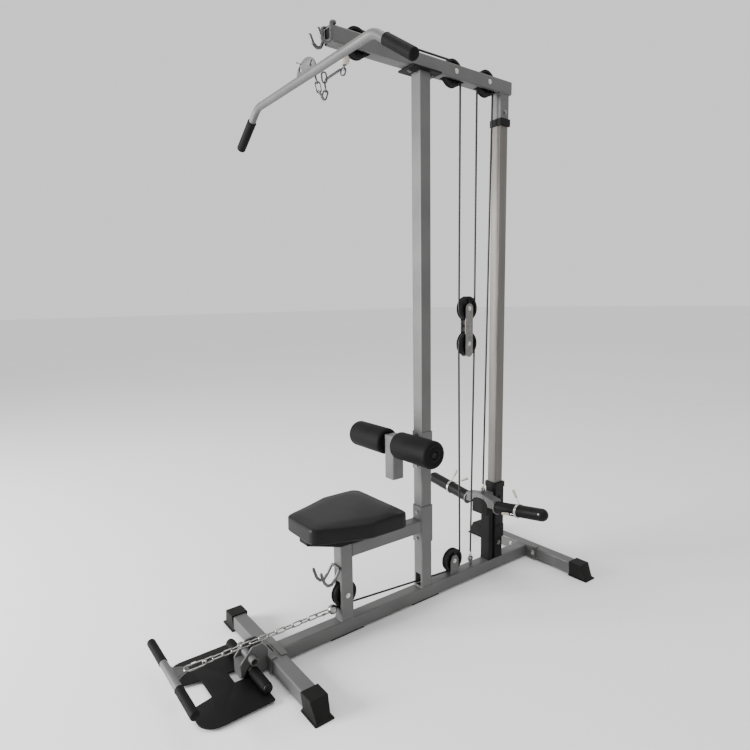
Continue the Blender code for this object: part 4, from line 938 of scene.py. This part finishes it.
def seat_pad():
    low_z, high_z = 0.4010, 0.4595
    inset = 0.0005
    start = piece("seat_pad_start", [flat([pad_outline(inset)], high_z - low_z - 0.0035, "Z",
                                          (0, 0, (low_z + high_z - 0.0035) / 2), 0.0070)], "black_vinyl")
    remesh = start.modifiers.new("voxels", "REMESH")
    remesh.mode = "VOXEL"
    remesh.voxel_size = 0.005
    graph = bpy.context.evaluated_depsgraph_get()
    mesh = bpy.data.meshes.new_from_object(start.evaluated_get(graph))
    bpy.data.objects.remove(start)
    pad = bpy.data.objects.new("seat_pad_cover", mesh)
    bpy.context.scene.collection.objects.link(pad)
    inflate(pad, low_z, pressure=4.0, cap=0.004)
    smooth = pad.modifiers.new("finer", "SUBSURF")
    smooth.levels = 1
    smooth.render_levels = 1
    graph = bpy.context.evaluated_depsgraph_get()
    final = bpy.data.meshes.new_from_object(pad.evaluated_get(graph))
    pad.modifiers.clear()
    pad.data = final
    final.shade_smooth()
    final.materials.clear()
    final.materials.append(SURFACES["black_vinyl"])
    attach(pad, "frame")
    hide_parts("seat_pad")
    for label, height, radius in (("upper", high_z - 0.0095, 0.0010), ("lower", low_z + 0.0085, 0.0008)):
        path = seam_on(pad, height)
        piece(f"seat_pad_{label}_seam", [swept(path, radius, 8, closed=True)], "black_vinyl", "frame")
    return pad


def inflate(pad, low_z, pressure, cap):
    """Blow the cover up like a filled cushion, held along its base."""
    rest = [vertex.co.copy() for vertex in pad.data.vertices]
    held = pad.vertex_groups.new(name="held")
    held.add([index for index, place in enumerate(rest) if place.z < low_z + 0.004], 1.0, "REPLACE")
    cloth = pad.modifiers.new("cloth", "CLOTH")
    cloth.settings.quality = 6
    cloth.settings.mass = 0.3
    cloth.settings.tension_stiffness = 120
    cloth.settings.compression_stiffness = 120
    cloth.settings.shear_stiffness = 60
    cloth.settings.bending_stiffness = 40
    cloth.settings.use_pressure = True
    cloth.settings.uniform_pressure_force = pressure
    cloth.settings.vertex_group_mass = "held"
    cloth.settings.effector_weights.gravity = 0
    cloth.point_cache.frame_start = 1
    cloth.point_cache.frame_end = 20
    scene = bpy.context.scene
    for step in range(1, 21):
        scene.frame_set(step)
    graph = bpy.context.evaluated_depsgraph_get()
    blown = bpy.data.meshes.new_from_object(pad.evaluated_get(graph))
    moved = [vertex.co.copy() for vertex in blown.vertices]
    pad.modifiers.clear()
    scene.frame_set(1)
    shifts = [after - before for before, after in zip(rest, moved)]
    shifts = [shift * min(1, cap / max(shift.length, 1e-9)) for shift in shifts]
    for _ in range(24):
        shifts = even_out(pad.data, shifts)
    for vertex, before, shift in zip(pad.data.vertices, rest, shifts):
        vertex.co = before + shift
    bpy.data.meshes.remove(blown)


def even_out(mesh, shifts):
    """Each vertex's shift averaged with its neighbours', which takes out small creases."""
    totals = [shift.copy() for shift in shifts]
    counts = [1] * len(shifts)
    for edge in mesh.edges:
        first, second = edge.vertices
        totals[first] += shifts[second]
        totals[second] += shifts[first]
        counts[first] += 1
        counts[second] += 1
    return [total / count for total, count in zip(totals, counts)]


def seam_on(pad, height):
    """Where a level line round the pad meets its cover."""
    bpy.context.view_layer.update()
    middle = Vector((0, -0.200, height))
    path = []
    for point in pad_outline(-0.020):
        outside = Vector((point[0], point[1], height))
        inward = (middle - outside).normalized()
        hit, place, _, _ = pad.ray_cast(outside, inward)
        if hit:
            path.append(place)
    thinned = [path[0]]
    for place in path[1:]:
        if (place - thinned[-1]).length > 0.002:
            thinned.append(place)
    dense = []
    for first, second in zip(thinned, thinned[1:] + thinned[:1]):
        count = max(1, int((second - first).length / 0.006))
        for step in range(count):
            guess = first.lerp(second, step / count)
            outward = (guess - middle).normalized() * 0.03
            hit, place, _, _ = pad.ray_cast(guess + outward, -outward.normalized())
            dense.append(place if hit else guess)
    return dense


# ---- the solid frame --------------------------------------------------------------------------------------

def dress_frame():
    """Give the frame's own parts their surfaces."""
    slots = {entry["node"]: entry["material_slot"] for entry in frame["record"]["subparts"]}
    # The guide rail takes the zinc with painted reflection streaks.
    chosen = {"guide_rail": "rail_zinc_and_painted_reflection"}
    for node, part in frame["nodes"].items():
        part.data.materials.clear()
        part.data.materials.append(SURFACES[chosen.get(node, slots[node])])


camera()
studio()
dress_frame()
cables()
lat_chain()
row_chain()
fasteners()
axle_bolts()
welds()
for wheel in PULLEYS:
    pulley(wheel, f"wheel_{wheel}")
for label, side in SIDES:
    knee_roller(label, side)
    peg(label, side)
knee_axle()
grips()
lat_bar()
row_handle()
hooks()
carriage()
base()
seat_pad()
